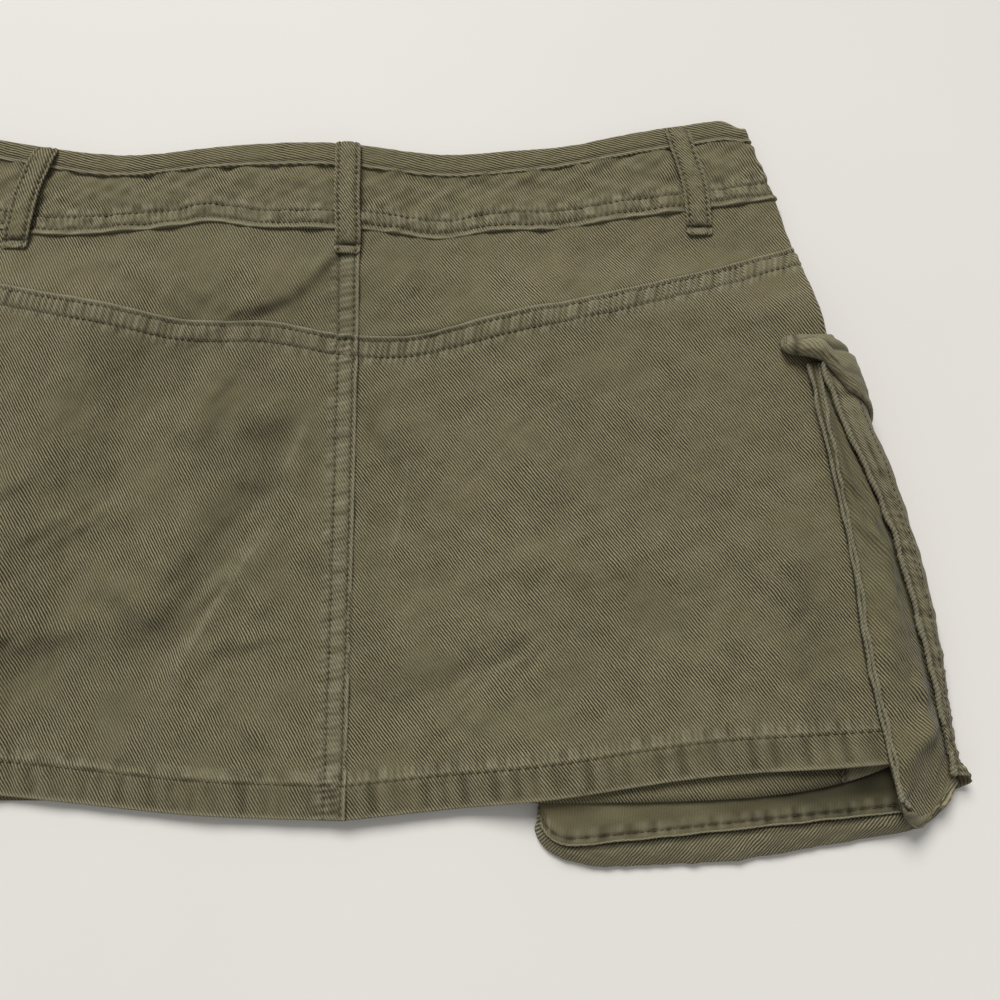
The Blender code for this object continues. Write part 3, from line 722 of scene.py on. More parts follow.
class Relief:
    """What lies on a grid of cloth: how proud its outside and its inside stand, how worn it is, how dark,
    mostly from painted shade, and its sewn lines."""

    def __init__(self, points):
        self.points = points
        self.out = np.zeros(points.shape[:2])
        self.under = np.zeros(points.shape[:2])
        self.worn = np.zeros(points.shape[:2])
        self.dark = np.zeros(points.shape[:2])
        self.inner_shade = np.zeros(points.shape[:2])
        self.lines = []

    def sew(self, edge, at, line, pitch=STITCH_PITCH, dark=1.0):
        """A furrow at a distance from an edge, with a hole at each end of each stitch, sewn along a line
        of the grid: its row number, or its column number below 0. Dark scales their painted shade."""
        travel = travelled(line_of(self.points, line))
        travel = travel[:, None] if line >= 0 else travel[None, :]
        near = hump((edge - at) / FURROW_WIDTH)
        hole = near * np.cos(np.pi * travel / pitch) ** HOLE_SHARP
        self.out -= FURROW_DEPTH * near + HOLE_DEPTH * hole
        self.dark += dark * (FURROW_SHADE * near + HOLE_SHADE * hole)
        self.lines.append((line, pitch))

    def roll(self, edge, along, rolled, seed):
        """A rolled, worn ridge of uneven height."""
        uneven = 1 + ROLL_UNEVEN * ripple(along, ROLL_LENGTH, seed)
        line = hump((edge - rolled.at) / rolled.width)
        self.out += rolled.height * uneven * line
        self.worn += ROLL_WORN * line * np.minimum(uneven, ROLL_MOST_WORN)

    def pucker(self, along, edge, low, high, seed, depth=PUCKER_DEPTH):
        """Uneven ripples across a stitched band, mostly one to a stitch: worn on their crests, with painted
        shade in their hollows.
        """
        band = smooth(low - PUCKER_BEFORE, low + PUCKER_FULL, edge)
        band = band * (1 - smooth(high - PUCKER_FULL, high + PUCKER_PAST, edge))
        place = along + LEAN * edge + PUCKER_DRIFT * ripple(along, PUCKER_DRIFT_LENGTH, seed + 2)
        wave = PUCKER_STITCHED * np.cos(2 * np.pi * place / STITCH_PITCH)
        wave = wave + PUCKER_FREE * ripple(place, PUCKER_LENGTH, seed)
        everywhere, crests = PUCKER_WORN
        self.out += depth * band * wave
        self.worn += band * (everywhere + crests * np.clip(wave, 0.0, 1.0))
        self.dark += PUCKER_SHADE * band * np.clip(-wave, 0.0, 1.0)

    def lap(self, edge, along, stitches, lines, seed):
        """A lapped seam from its edge in: the raised lap, its rolled edge, two sewn lines and puckers."""
        raised = LAP_UP * (1 - smooth(LAP_LEVEL * LAP_END, LAP_END, edge) + LAP_LIP * hump(edge / LAP_END))
        self.out += raised
        self.under += raised
        self.roll(edge, along, LAP_ROLL, seed)
        for at, line in zip(stitches, lines):
            self.sew(edge, at, line)
        first, last = stitches
        self.pucker(along, edge, first, last, seed)
        self.pucker(along, edge, last, last + PAST_LAP, seed + 2, depth=SOFT_PUCKER)

    def hem(self, foot, along, line, seed):
        """A turned hem: twice the cloth, one sewn line, and slanting ropes between it and the fold."""
        self.out += HEM_UP * (1 - smooth(HEM_DEPTH, HEM_DEPTH + HEM_STEP, foot))
        self.sew(foot, HEM_STITCHES, line, pitch=HEM_PITCH)
        band = smooth(0.0, ROPE_FADE, foot) * (1 - smooth(HEM_DEPTH - ROPE_FADE, HEM_DEPTH, foot))
        rope = ripple(along + LEAN * foot, ROPE_LENGTH, seed)
        everywhere, hollows = ROPE_DARK
        self.out += ROPE_UP * band * rope
        self.mark(foot, HEM_FOLD)
        self.worn += ROPE_WORN * band * np.clip(rope, 0.0, 1.0)
        # painted shade in the hollows between the hem's ropes
        self.dark += band * (everywhere + hollows * np.clip(-rope, 0.0, 1.0))
        self.pucker(along, foot, HEM_DEPTH, HEM_DEPTH + PAST_HEM, seed + 4, depth=SOFT_PUCKER)

    def mark(self, edge, *marks, share=1.0):
        """Lines at their distances from an edge, or a share of them."""
        for mark in marks:
            line = share * hump((edge - mark.at) / mark.width)
            self.out -= mark.down * line
            self.dark += mark.dark * line
            self.worn += mark.worn * line

    def soften(self, x, y, seed, depth, size):
        """Slack in the cloth."""
        finer = mottle(x, y, FINER * size, seed + 3) / 2
        self.out += depth * (mottle(x, y, size, seed) + finer)

    def flatten(self, share):
        """Keep only a share of the relief, where the cloth lies on the ground."""
        self.out *= share
        self.under *= share


def line_of(grid, line):
    """A row of a grid, or the column that a number below 0 stands for: -1 is column 0, -2 is column 1."""
    return grid[:, line] if line >= 0 else grid[-line - 1]


def column(number):
    """The line number of a column."""
    return -number - 1


def nearest(values, wanted):
    """The number of the value nearest to a wanted one."""
    return int(np.argmin(np.abs(values - wanted)))


# Shells of cloth

MILLIMETRES = 1000.0
INSIDE_WITHIN = 0.00012  # how closely the coarser inside follows the outside
INSIDE_STEPS = 7  # the most steps of the outside's that one of the inside's takes
INNER_TWILL = 0.4  # how boldly the twill shows on the cloth's inside
SEWN = {}
Shell = namedtuple("Shell", "surface normals")


def normals_of(points, facing):
    """Unit vectors out of a grid of points, to the side given by facing, 1 or -1."""
    return facing * unit(np.cross(np.gradient(points, axis=1), np.gradient(points, axis=0)))


def twill(along, up, angle=TWILL_ANGLE, strength=1.0, shift=0.0):
    """Cloth coordinates in millimetres: along the twill lines, across them, and how boldly they show."""
    turn = np.radians(angle)
    along, up, strength = np.broadcast_arrays(along + shift, up, strength)
    line = along * np.cos(turn) - up * np.sin(turn)
    across = along * np.sin(turn) + up * np.cos(turn)
    return np.stack([MILLIMETRES * line, MILLIMETRES * across, strength], axis=-1)


def quads(numbers):
    """The faces of a grid of corner numbers."""
    corners = numbers[:-1, :-1], numbers[1:, :-1], numbers[1:, 1:], numbers[:-1, 1:]
    return np.stack(corners, axis=-1).reshape(-1, 4).tolist()


def tube(rings, sides, start=0):
    """The faces of a closed tube, whose points count up round each ring from a first number."""
    numbers = start + np.arange(rings * sides).reshape(rings, sides)
    round_them = np.concatenate([numbers, numbers[:, :1]], axis=1)
    ends = [numbers[0, ::-1].tolist(), numbers[-1].tolist()]
    return [face[::-1] for face in quads(round_them)] + ends


def kept_lines(points, axis):
    """Numbers of the lines of a grid that are enough to keep its shape on the cloth's inside."""
    lines = np.moveaxis(points, axis, 0)
    kept = [0]
    while kept[-1] < len(lines) - 1:
        first = kept[-1]
        last = min(first + INSIDE_STEPS, len(lines) - 1)
        while last > first + 1 and stray(lines[first : last + 1]) > INSIDE_WITHIN:
            last -= 1
        kept.append(last)
    return kept


def stray(lines):
    """How far a run of lines strays from straight."""
    chord = unit(lines[-1] - lines[0])
    off = lines[1:-1] - lines[0]
    off = off - (off * chord).sum(axis=-1, keepdims=True) * chord
    return np.linalg.norm(off, axis=-1).max()


def walled(shape, columns, rows, facing):
    """Faces of a closed wall: a fine grid, a coarser one behind it, and rims round them."""
    front = np.arange(shape[0] * shape[1]).reshape(shape)
    back = front.size + np.arange(len(columns) * len(rows)).reshape(len(columns), len(rows))
    faces = quads(front) + [face[::-1] for face in quads(back)]
    for k, (first, last) in enumerate(zip(columns[:-1], columns[1:])):
        faces.append([*front[first : last + 1, 0][::-1].tolist(), int(back[k, 0]), int(back[k + 1, 0])])
        faces.append([*front[first : last + 1, -1].tolist(), int(back[k + 1, -1]), int(back[k, -1])])
    for k, (first, last) in enumerate(zip(rows[:-1], rows[1:])):
        faces.append([*front[0, first : last + 1].tolist(), int(back[0, k + 1]), int(back[0, k])])
        faces.append([*front[-1, first : last + 1][::-1].tolist(), int(back[-1, k]), int(back[-1, k + 1])])
    return faces if facing < 0 else [face[::-1] for face in faces]


def mesh_piece(name, points, faces, material, **layers):
    """A smooth-shaded object from points and faces, in the laid form's own coordinates, that rides on the
    frame."""
    mesh = bpy.data.meshes.new(name)
    mesh.from_pydata((points - (ORIGIN_X, ORIGIN_Y, 0.0)).tolist(), [], faces)
    for title, values in layers.items():
        layer = mesh.attributes.new(title, "FLOAT_VECTOR", "POINT")
        layer.data.foreach_set("vector", np.ascontiguousarray(values, np.float32).ravel())
    mesh.shade_smooth()
    mesh.materials.append(material)
    piece = bpy.data.objects.new(name, mesh)
    bpy.context.scene.collection.objects.link(piece)
    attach(piece, "root")
    return piece


def tone_of(worn, dark):
    """The tone layer's values: how worn each point is, and how dark, mostly from painted shade."""
    return np.stack([np.clip(worn, 0, 1), np.clip(dark, 0, 1), 0 * dark], axis=-1)


def both(outside, inside, columns, rows):
    """A layer's values on a wall: all of its outside's, then its inside's on the kept lines."""
    return np.concatenate([outside.reshape(-1, 3), inside[np.ix_(columns, rows)].reshape(-1, 3)])


def shell(name, facing, relief, weave, looks, thickness=CLOTH, inner_weave=None):
    """A closed wall of cloth that stands for the CAD node of its name, and its stitches."""
    points = relief.points
    base = normals_of(points, facing)
    outside = points + base * (relief.out + thickness / 2)[..., None]
    inside = points + base * (relief.under - thickness / 2)[..., None]
    columns, rows = kept_lines(points, 0), kept_lines(points, 1)
    tone = tone_of(relief.worn, relief.dark)
    inner_tone = tone_of(relief.worn, relief.dark + relief.inner_shade)
    faces = walled(points.shape[:2], columns, rows, facing)
    if inner_weave is None:
        inner_weave = weave * (1.0, 1.0, INNER_TWILL)
    layers = {
        "weave": both(weave, inner_weave, columns, rows),
        "tone": both(tone, inner_tone, columns, rows),
    }
    piece = mesh_piece(f"{name}_cloth", both(outside, inside, columns, rows), faces, looks.cloth, **layers)
    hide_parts(name)
    normals = normals_of(outside, facing)
    if relief.lines:
        sewn = Stitches()
        for line, pitch in relief.lines:
            sewn.row(line_of(outside, line), line_of(normals, line), pitch)
        sewn.build(f"{name}_stitches", looks.thread, name)
    return Shell(outside, normals)


# Stitches

THREAD = 0.0004
THREAD_SINK = 0.00008
STITCH_LENGTH = 0.78  # as a share of the pitch
STITCH_RINGS = ((-0.5, 0.35), (-0.32, 0.95), (0.0, 1.1), (0.32, 0.95), (0.5, 0.35))  # place along, thickness
STITCH_SIDES = 6


def directions(sides):
    """Even turns round a ring."""
    return np.arange(sides) * 2 * np.pi / sides


class Stitches:
    """Gathers stitches along lines, to make one mesh of them."""

    def __init__(self):
        self.points = []
        self.faces = []

    def row(self, points, normals, pitch):
        """Stitches at a pitch along a line on the cloth."""
        travel = travelled(points)
        for number in range(int(travel[-1] / pitch)):
            start = (number + 0.5 * (1 - STITCH_LENGTH)) * pitch
            ends = np.array([start, start + STITCH_LENGTH * pitch])
            first, last = at_travel(points, travel, ends)
            self.stitch(first, last, at_travel(normals, travel, ends.mean()))

    def stitch(self, first, last, up):
        """One stitch: a short thread that bows up between its two holes."""
        run = last - first
        aside = unit(np.cross(up, run))
        turns = directions(STITCH_SIDES)[:, None]
        circle = np.cos(turns) * aside + np.sin(turns) * up
        for place, share in STITCH_RINGS:
            lift = (1 - (2 * place) ** 2) * THREAD / 2 - THREAD_SINK
            self.points.append((first + last) / 2 + run * place + up * lift + circle * THREAD * share / 2)
        start = (len(self.points) - len(STITCH_RINGS)) * STITCH_SIDES
        self.faces += tube(len(STITCH_RINGS), STITCH_SIDES, start)

    def build(self, name, material, on):
        """The mesh of all these stitches, as a piece that goes with the shell of a CAD node."""
        piece = mesh_piece(name, np.concatenate(self.points), self.faces, material)
        SEWN.setdefault(on, []).append(piece)


# The sewn pieces

GAP_SHADE = 0.5  # painted shade on the layers in the gap under the curled hem, and where that starts and is full
GAP_X = (0.14, 0.215)

# Rows of the grids, which lie closer at laps and hems
FINE = 0.0006
LAPPED = even(-OVERLAP, LAP_END, FINE)
PLAIN = even(HAIR, 0.003, 0.001)
HEMMED = even(0.0, 0.0168, 0.0007)
PANEL_ROWS = ladder(LAPPED, 150, HEMMED)
YOKE_ROWS = ladder(PLAIN, 46, PLAIN)
BAND_ROWS = ladder(PLAIN, 18, LAPPED)
BINDING_ROWS = ladder(even(0.0, 0.003, FINE), 6, even(-OVERLAP, 0.0036, FINE))
FRONT_ROWS = ladder(PLAIN, 84, HEMMED)

# How boldly the twill shows where it isn't worn smooth, how much that varies, over what size and within
# what
Patchy = namedtuple("Patchy", "strength uneven size least most")
PATCHY = {
    "back_yoke": Patchy(0.92, 0.3, 0.034, 0.3, 1.5),
    "back_panel": Patchy(1.22, 0.3, 0.034, 0.3, 1.5),
    "waistband": Patchy(0.86, 0.3, 0.022, 0.3, 1.4),
}
BACK_TURN = 4.0  # how much steeper the twill falls on the back's left, and less steeply on its right
WAIST_TURN = 3.0
BINDING_TWILL_ANGLE = 16.0

# How deep and how broad the slack of each piece is
Slack = namedtuple("Slack", "depth size")
FINE_SLACK = Slack(0.00022, 0.016)
BROAD_SLACK = Slack(0.0004, 0.047)
WAIST_SLACK = Slack(0.00055, 0.013)
BINDING_SLACK = Slack(0.00016, 0.009)
LOOP_SLACK = Slack(0.0002, 0.006)
BACKING_SLACK = Slack(0.00018, 0.011)
FACE_SLACK = Slack(0.0003, 0.014)
BELLOWS_SLACK = Slack(0.0003, 0.01)
FLAP_WAVES = Slack(0.0003, 0.008)

# How worn or dark a piece is all over, how much that varies, and over what size
Wear = namedtuple("Wear", "everywhere uneven size")
BACK_WORN = Wear(0.04, 0.06, 0.012)
WAIST_WORN = Wear(0.06, 0.1, 0.009)
BACKING_DARK = Wear(0.16, 0.1, 0.012)
CENTRE_WORN = Mark(sum(CENTRE_STITCHES) / 2, 0.0034, worn=0.16)
# Painted shadow on the cloth just past a lapped edge, and on the yoke below the waistband's edge
SHADOW_BESIDE_LAP = Mark(0.0008, 0.0008, dark=0.4)
SHADOW_BELOW_WAIST = Mark(0.0008, 0.0008, dark=0.45)

# The waistband's dimples under its binding, and the binding itself
DIMPLE = 0.0006
DIMPLE_LENGTH = 0.017
DIMPLE_LEAN = 0.7
DIMPLE_AT = 0.003
DIMPLE_WIDTH = 0.006
BINDING_UP = 0.0004
# the binding's furrow, and the painted shade in it
BINDING_FURROW = (Mark(0.0024, 0.0011, down=0.0002), Mark(0.0024, 0.0008, dark=0.45))
BINDING_TOP = Mark(0.0, 0.0012, worn=0.35)

# The front is finished plainly.
FRONT_RELIEF = 0.3  # how much of the back's relief its waistband and loops have
FRONT_SLACK = Slack(0.00035, 0.045)
ROUND_FOLD = 0.8  # how much of the relief goes, from the back over a side fold
Looks = namedtuple("Looks", "cloth thread metal")


def points_of(grid):
    """The points of the laid cloth at a grid's places."""
    return lay(grid.side, grid.distance, grid.y)


def on_top(side, distance, y):
    """1 on the back, a small share under the fold, and a soft step over it."""
    fold = fold_x(side, y)
    return 1 - ROUND_FOLD * smooth(fold, fold + FOLD_ROUND, distance)


def all_over(wear, x, y, seed):
    """How worn or dark a piece is all over, at (x, y)."""
    return wear.everywhere + wear.uneven * np.clip(mottle(x, y, wear.size, seed), -1.0, 1.0)


def patchy(kind, x, y, seed):
    """How boldly the twill of a kind of piece shows, at (x, y)."""
    look = PATCHY[kind]
    return np.clip(look.strength + look.uneven * mottle(x, y, look.size, seed), look.least, look.most)


def build_back(looks):
    """Yokes and panels of the back, with the centre seam lapped to the right."""
    for side, name in SIDES:
        lap = OVERLAP if side == LEFT else 0.0
        yoke = laid(side, back_stations, WAIST, YOKE, YOKE_ROWS, lap=lap, fine=BAND_FINE)
        panel = laid(side, back_stations, YOKE, HEM, PANEL_ROWS, lap=lap, fine=PANEL_FINE)
        for grid, piece, seed in ((yoke, "back_yoke", 1.3), (panel, "back_panel", 4.1)):
            x = side * grid.distance
            relief = Relief(points_of(grid))
            relief.soften(x, grid.y, seed + side, *FINE_SLACK)
            relief.soften(x, grid.y, seed + 3 * side, *BROAD_SLACK)
            relief.worn += all_over(BACK_WORN, x, grid.y, seed + 8)
            # painted shade on the creases' steep sides, and in patches where the back's folds lie in shade
            relief.dark += painted_crease_shade(CREASES, x, grid.y) + painted_shade_patches(x, grid.y)
            crest = crested(x, grid.y)
            relief.out += CREST_UP * crest
            relief.worn += crest
            relief.mark(quarter(grid.y) - grid.distance, *SEAM)
            if piece == "back_panel":
                lines = [rung(PANEL_ROWS, at - OVERLAP) for at in YOKE_STITCHES]
                relief.lap(grid.top + OVERLAP, x, YOKE_STITCHES, lines, seed + 2 * side)
                relief.hem(grid.foot, x, rung(PANEL_ROWS, -HEM_STITCHES), seed + side)
            else:
                relief.mark(grid.top, SHADOW_BELOW_WAIST)
                relief.mark(grid.foot, SHADOW_BESIDE_LAP)
            if side == LEFT:
                edge = grid.distance + OVERLAP
                lines = [column(nearest(edge[:, 0], at)) for at in CENTRE_STITCHES]
                relief.lap(edge, grid.y, CENTRE_STITCHES, lines, seed + 5)
                relief.mark(edge, CENTRE_WORN)
            else:
                relief.mark(grid.distance, SHADOW_BESIDE_LAP)
            relief.flatten(on_top(side, grid.distance, grid.y))
            strength = patchy(piece, x, grid.y, seed + side)
            weave = twill(x, grid.y, TWILL_ANGLE - side * BACK_TURN, strength=strength, shift=0.31 * seed)
            shell(f"{piece}_{name}", side, relief, weave, looks)


def joined(left, right):
    """The values of a left grid and a right one as one grid, which share the column where they meet."""
    return np.concatenate([left[::-1], right[1:]])


def build_waist(looks):
    """The waistband and its binding, each with one stretch across the back and two along the front."""
    for upper, lower, kind, rows in (
        (BINDING, WAIST, "waistband", BAND_ROWS),
        (TOP, BINDING, "waist_binding", BINDING_ROWS),
    ):
        left = laid(LEFT, back_stations, upper, lower, rows, lap=0.0, fine=BAND_FINE)
        right = laid(RIGHT, back_stations, upper, lower, rows, lap=0.0, fine=BAND_FINE)
        points = joined(points_of(left), points_of(right))
        share = joined(1 + 0 * left.distance, on_top(RIGHT, right.distance, right.y))
        places_of = (joined(getattr(left, key), getattr(right, key)) for key in ("y", "top", "foot"))
        whole = Laid(RIGHT, joined(-left.distance, right.distance), *places_of, rows)
        finish_band(kind, f"{kind}_back", points, whole, share, looks)
        for side, side_name in SIDES:
            grid = laid(side, front_stations, upper, lower, rows)
            finish_band(kind, f"{kind}_front_{side_name}", points_of(grid), grid, FRONT_RELIEF, looks)


def finish_band(kind, name, points, grid, share, looks):
    """Relief, twill and stitches of a stretch of the waistband or of its binding. Share is how much relief
    it has."""
    relief = Relief(points)
    x, y = grid.distance, grid.y
    edge = grid.foot + OVERLAP
    if kind == "waistband":
        relief.soften(x, y, 2.2, *WAIST_SLACK)
        relief.worn += all_over(WAIST_WORN, x, y, 7.7)
        lines = [rung(grid.rows, -(at - OVERLAP)) for at in WAIST_STITCHES]
        relief.lap(edge, x, WAIST_STITCHES, lines, 3.0)
        dimple = np.clip(ripple(x - DIMPLE_LEAN * y, DIMPLE_LENGTH, 5.1), 0.0, 1.0)
        relief.out -= DIMPLE * dimple * hump((grid.top - DIMPLE_AT) / DIMPLE_WIDTH)
        relief.mark(grid.top, SHADOW_BESIDE_LAP)
        weave = twill(x, y, TWILL_ANGLE + WAIST_TURN, strength=patchy(kind, x, y, 5.5), shift=0.77)
    else:
        relief.out += BINDING_UP
        relief.under += BINDING_UP / 2
        relief.roll(edge, x, BINDING_ROLL, 6.0)
        relief.mark(edge, *BINDING_FURROW)
        relief.mark(grid.top, BINDING_TOP)
        relief.soften(x, y, 3.7, *BINDING_SLACK)
        weave = twill(x, y, BINDING_TWILL_ANGLE, shift=0.13)
    relief.flatten(share)
    shell(name, grid.side, relief, weave, looks, thickness=BAND)


def build_front(looks):
    """The hidden front panels, plain but for their seams and their hem."""
    for side, name in SIDES:
        grid = laid(side, front_stations, WAIST, HEM, FRONT_ROWS)
        relief = Relief(points_of(grid))
        x = side * grid.distance
        relief.out -= FRONT_SLACK.depth * (1 + mottle(x, grid.y, FRONT_SLACK.size, 7.0 + side))
        relief.mark(grid.distance - quarter(grid.y), *SEAM)
        relief.mark(2 * quarter(grid.y) - grid.distance, *SEAM)
        relief.sew(grid.foot, HEM_STITCHES, rung(FRONT_ROWS, -HEM_STITCHES), pitch=HEM_PITCH)
        relief.out = np.minimum(relief.out, 0.0)
        # painted shade on the front's inside, in the gap under the curled hem
        relief.inner_shade += GAP_SHADE * smooth(*GAP_X, relief.points[..., 0])
        weave = twill(x, grid.y, shift=0.55)
        turned_up = np.where(grid.foot < HEM_DEPTH, 1.0, INNER_TWILL)
        inner = twill(relief.points[..., 0], grid.y, strength=turned_up, shift=0.35)
        shell(f"front_panel_{name}", side, relief, weave, looks, inner_weave=inner)


# Belt loops and button

LOOP_PROUD = 0.0027
LOOP_LOW = 0.0019  # how proud it lies where it is sewn down
LOOP_RISE = 0.0013
LOOP_HELD = (0.006, 0.012)  # how far from its top and its foot it lies low
LOOP_SHORT = 0.0012  # how much shorter it is at its top than its solid
LOOP_ROUND = 0.0022
LOOP_NARROW = 0.0016  # how much narrower each side is at its very ends
LOOP_SWAY = 0.0003
LOOP_SWAY_LENGTH = 0.031
LOOP_STEPS = (26, 90)
LOOP_STITCHES = 0.0017
# how much painted shade the loops' stitch furrows and holes get
LOOP_STITCH_SHADE = 0.35

# Its edges turn down and are worn, and so is its middle. Its folded foot, up to a groove, is worn, and
# painted shade darkens the groove and the loop over it.
LOOP_EDGE = (Mark(0.0, 0.0007, down=0.0005), Mark(0.0007, 0.0006, worn=0.35))
LOOP_MIDDLE = Mark(0.0, 0.2, worn=0.18)  # in shares of the loop's width
LOOP_GROOVE = 0.004
LOOP_FOOT = (
    Mark(LOOP_GROOVE, 0.0006, down=0.0009, dark=0.55),
    Mark(LOOP_GROOVE + 0.0016, 0.0012, dark=0.35),
    Mark(0.45 * LOOP_GROOVE, 0.0012, worn=0.5),
)
TACK = 0.001  # how far over the groove the bar tack is, and half its height in the grid's steps
TACK_STEPS = 2

BUTTON_SIDES = 64
# Shares of the button's radius and of its height, from the middle of its cap round its rim to its back
BUTTON_PROFILE = (
    (0.3, 0.22), (0.62, 0.16), (0.74, 0.3), (0.8, 0.06), (0.9, 0.0),
    (0.98, 0.1), (1.0, 0.35), (0.98, 0.75), (0.9, 1.0),
)


def build_loops(looks):
    """Each loop is a folded strip, sewn down at its top and turned under and bar-tacked at its foot."""
    across, down = LOOP_STEPS
    for number, loop in enumerate(LOOPS):
        share = np.linspace(0.0, 1.0, down + 1)
        place = np.linspace(-0.5, 0.5, across + 1)[:, None]
        length = np.hypot(loop.top_x - loop.bottom_x, loop.top_y - loop.bottom_y)
        start = LOOP_SHORT / length
        along = start + (1 - start) * share
        foot = length * (1 - along)
        end = np.clip(np.minimum(foot, length * (along - start)) / LOOP_ROUND, 0.0, 1.0)
        width = LOOP_WIDTH - 2 * LOOP_NARROW * rounding(end)
        sway = loop.bow * np.sin(np.pi * share) + LOOP_SWAY * ripple(foot, LOOP_SWAY_LENGTH, number)
        x = loop.top_x + (loop.bottom_x - loop.top_x) * along + place * width + sway
        y = loop.top_y + (loop.bottom_y - loop.top_y) * along + 0 * place
        if loop.under:
            z = front_height(x, y) - (BAND / 2 + SEAM_GAP + CLOTH / 2)
        else:
            free = smooth(0.0, LOOP_HELD[0], length * share) * smooth(0.0, LOOP_HELD[1], foot)
            rise = LOOP_PROUD - LOOP_LOW + LOOP_RISE * np.sin(np.pi * share)
            z = back_height(x, y) + LOOP_LOW + free * rise
        relief = Relief(np.stack([x, y, z], axis=-1))
        edge = LOOP_WIDTH * (0.5 - np.abs(place)) + 0 * share
        relief.mark(edge, *LOOP_EDGE)
        relief.mark(place, LOOP_MIDDLE)
        relief.mark(foot, *LOOP_FOOT)
        for line in (LOOP_STITCHES, LOOP_WIDTH - LOOP_STITCHES):
            line = column(round(across * line / LOOP_WIDTH))
            relief.sew(edge, LOOP_STITCHES, line, dark=LOOP_STITCH_SHADE)
        relief.soften(x, y, number + 0.5, *LOOP_SLACK)
        if loop.under:
            relief.flatten(FRONT_RELIEF)
        weave = twill(place * LOOP_WIDTH, foot, shift=0.07 * number)
        made = shell(loop.name, -1 if loop.under else 1, relief, weave, looks)
        tack = Stitches()
        level = nearest(foot, LOOP_GROOVE + TACK)
        for line in range(2, across - 1):
            ends = made.surface[line, [level - TACK_STEPS, level + TACK_STEPS]]
            tack.stitch(*ends, made.normals[line, level])
        tack.build(f"{loop.name}_tack", looks.thread, loop.name)


def build_button(looks):
    """A tack button: a turned cap with a rim."""
    low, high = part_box("waist_button")
    radius = (high.x - low.x) / 2
    height = high.z - low.z
    turns = directions(BUTTON_SIDES)
    circle = radius * np.stack([np.cos(turns), np.sin(turns), 0 * turns], axis=-1)
    middle = np.array([(low.x + high.x) / 2 + ORIGIN_X, BUTTON_Y, low.z])
    rings = [middle + share * circle + (0.0, 0.0, up * height) for share, up in BUTTON_PROFILE]
    faces = tube(len(rings), BUTTON_SIDES)
    piece = mesh_piece("waist_button_cap", np.concatenate(rings), faces, looks.metal)
    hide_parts("waist_button")


# The bellows pockets

POCKET_STEPS = {RIGHT: (14, 26, 44, 30, 20), LEFT: (20, 16, 12, 20, 20)}
POCKET_ROWS = (16, 6, 66, 26)
FOOT_BAND = 0.01  # the rows lie closer this near the foot
BELLOWS_ROWS = 40
FLAP_BACK_STEPS = 40
FLAP_ROWS = np.concatenate([np.linspace(0.0, 0.25, 14), np.linspace(0.25, 1.0, 34)[1:]])

# Cords of folded cloth along the pocket's seams: how thick they are, how they twist, and how uneven they
# are
CORD = 0.0018
FACE_CORD = 0.0024
PIPING = 0.0009
PIPING_INSET = 3  # columns of the backing that it leaves free at each end
CORD_STEP = 0.00045
CORD_SIDES = 10
CORD_TWIST = 0.0018
CORD_CORE = 0.88  # the shares of its thickness that are its core and its twisted strands
CORD_STRANDS = 0.22
CORD_UNEVEN = 0.12
CORD_UNEVEN_LENGTH = 0.013
CORD_SWAY = 0.18
CORD_SWAY_LENGTH = 0.017
CORD_TAPER = 0.7  # how long a tapered end is, in widths, and how thin it gets
CORD_THINNEST = 0.04
CORD_BULB = 0.35  # how much thicker it is near its last end, from and by these distances from it
CORD_BULB_AT = (0.009, 0.003)
CORD_TWILL = 0.7
CORD_TWILL_ANGLE = 20.0
CORD_WORN = (0.66, 0.34)  # how worn all of it is, and how much more its strands are
# painted shade between the cord's twisted strands
CORD_STRAND_SHADE = 0.45
SPARE_UP = (0.0, 0.0, 1e-6)  # for where a piece has no direction up of its own

# The inner seam's pair of cords: how far apart they are below and at the mouth, and where that changes
CORD_PAIR = 0.0015
CORD_PAIR_TOP = 0.0046
CORD_CLOSES = (0.015, 0.08)
CORD_ROWS_FREE = 8
CORD_PAST = 0.0036  # how far they hang past the foot, and how far they lean out and up there
CORD_LEANS_OUT = 0.3
CORD_LEANS_UP = 0.1

# The face and the backing
FACE_STITCHES = 0.0062
FOOT_STITCHES = 0.0026
# painted shade on the face just beside its cord
SHADE_BESIDE_FACE_CORD = Mark(0.0022, 0.0007, dark=0.45)
FACE_LIES = (1.3, 1.7)  # where round the bag the face comes to lie on the ground
GAP_FOOT_SHADE = 0.25  # painted shade on the backing's foot in the gap, and how far up the gap's own shade starts
GAP_FOOT = (0.004, 0.011)
BACKING_TWILL = 0.1
BACKING_TWILL_ANGLE = 80.0
FLICK = 0.005  # the face's bottom corner sticks out this much, up to this height
FLICK_UP = 0.009
FLICK_AT = 1.15  # where round the bag it does, and how far round
FLICK_WIDTH = 0.55

# The bellows: how softly it turns its corner, how far each way, and the shapes of its bend and its lobe
# across it
CORNER_EASE = 0.007
CORNER_REACH = 0.02
EASE_FLAT = 0.6
LOBE_FLAT = 0.8
LOBE_LEAN = 0.85
CORNER_BLEND = 0.004
CORNER_SMOOTH = 0.0012  # the twill fades out this near the corner, where its direction changes
OFF_GROUND = (0.0015, 0.0045)  # folds start from the first height and are whole at the second
PAIR_FURROW = Mark(0.0, 0.0006, down=0.0007, dark=0.6)  # a furrow with painted shade between the two cords, and painted shade past them
PAIR_SHADE = Mark(CORD / 2, 0.0008, dark=0.4)
OUTER_FURROW = (Mark(0.0016, 0.0013, down=0.0009), Mark(0.001, 0.0009, dark=0.55))  # beside the face's cord: a furrow, and painted shade
BELLOWS_FOOT_WORN = 0.2
BELLOWS_SIDE_DARK = 0.06
BELLOWS_TWILL = (0.45, 0.6)  # how boldly its twill shows near the mouth, and how much more further down
BELLOWS_TWILL_AT = (0.08, 0.14)
BELLOWS_SIDE_ANGLE = 53.0
BELLOWS_FOOT_ANGLE = -50.0

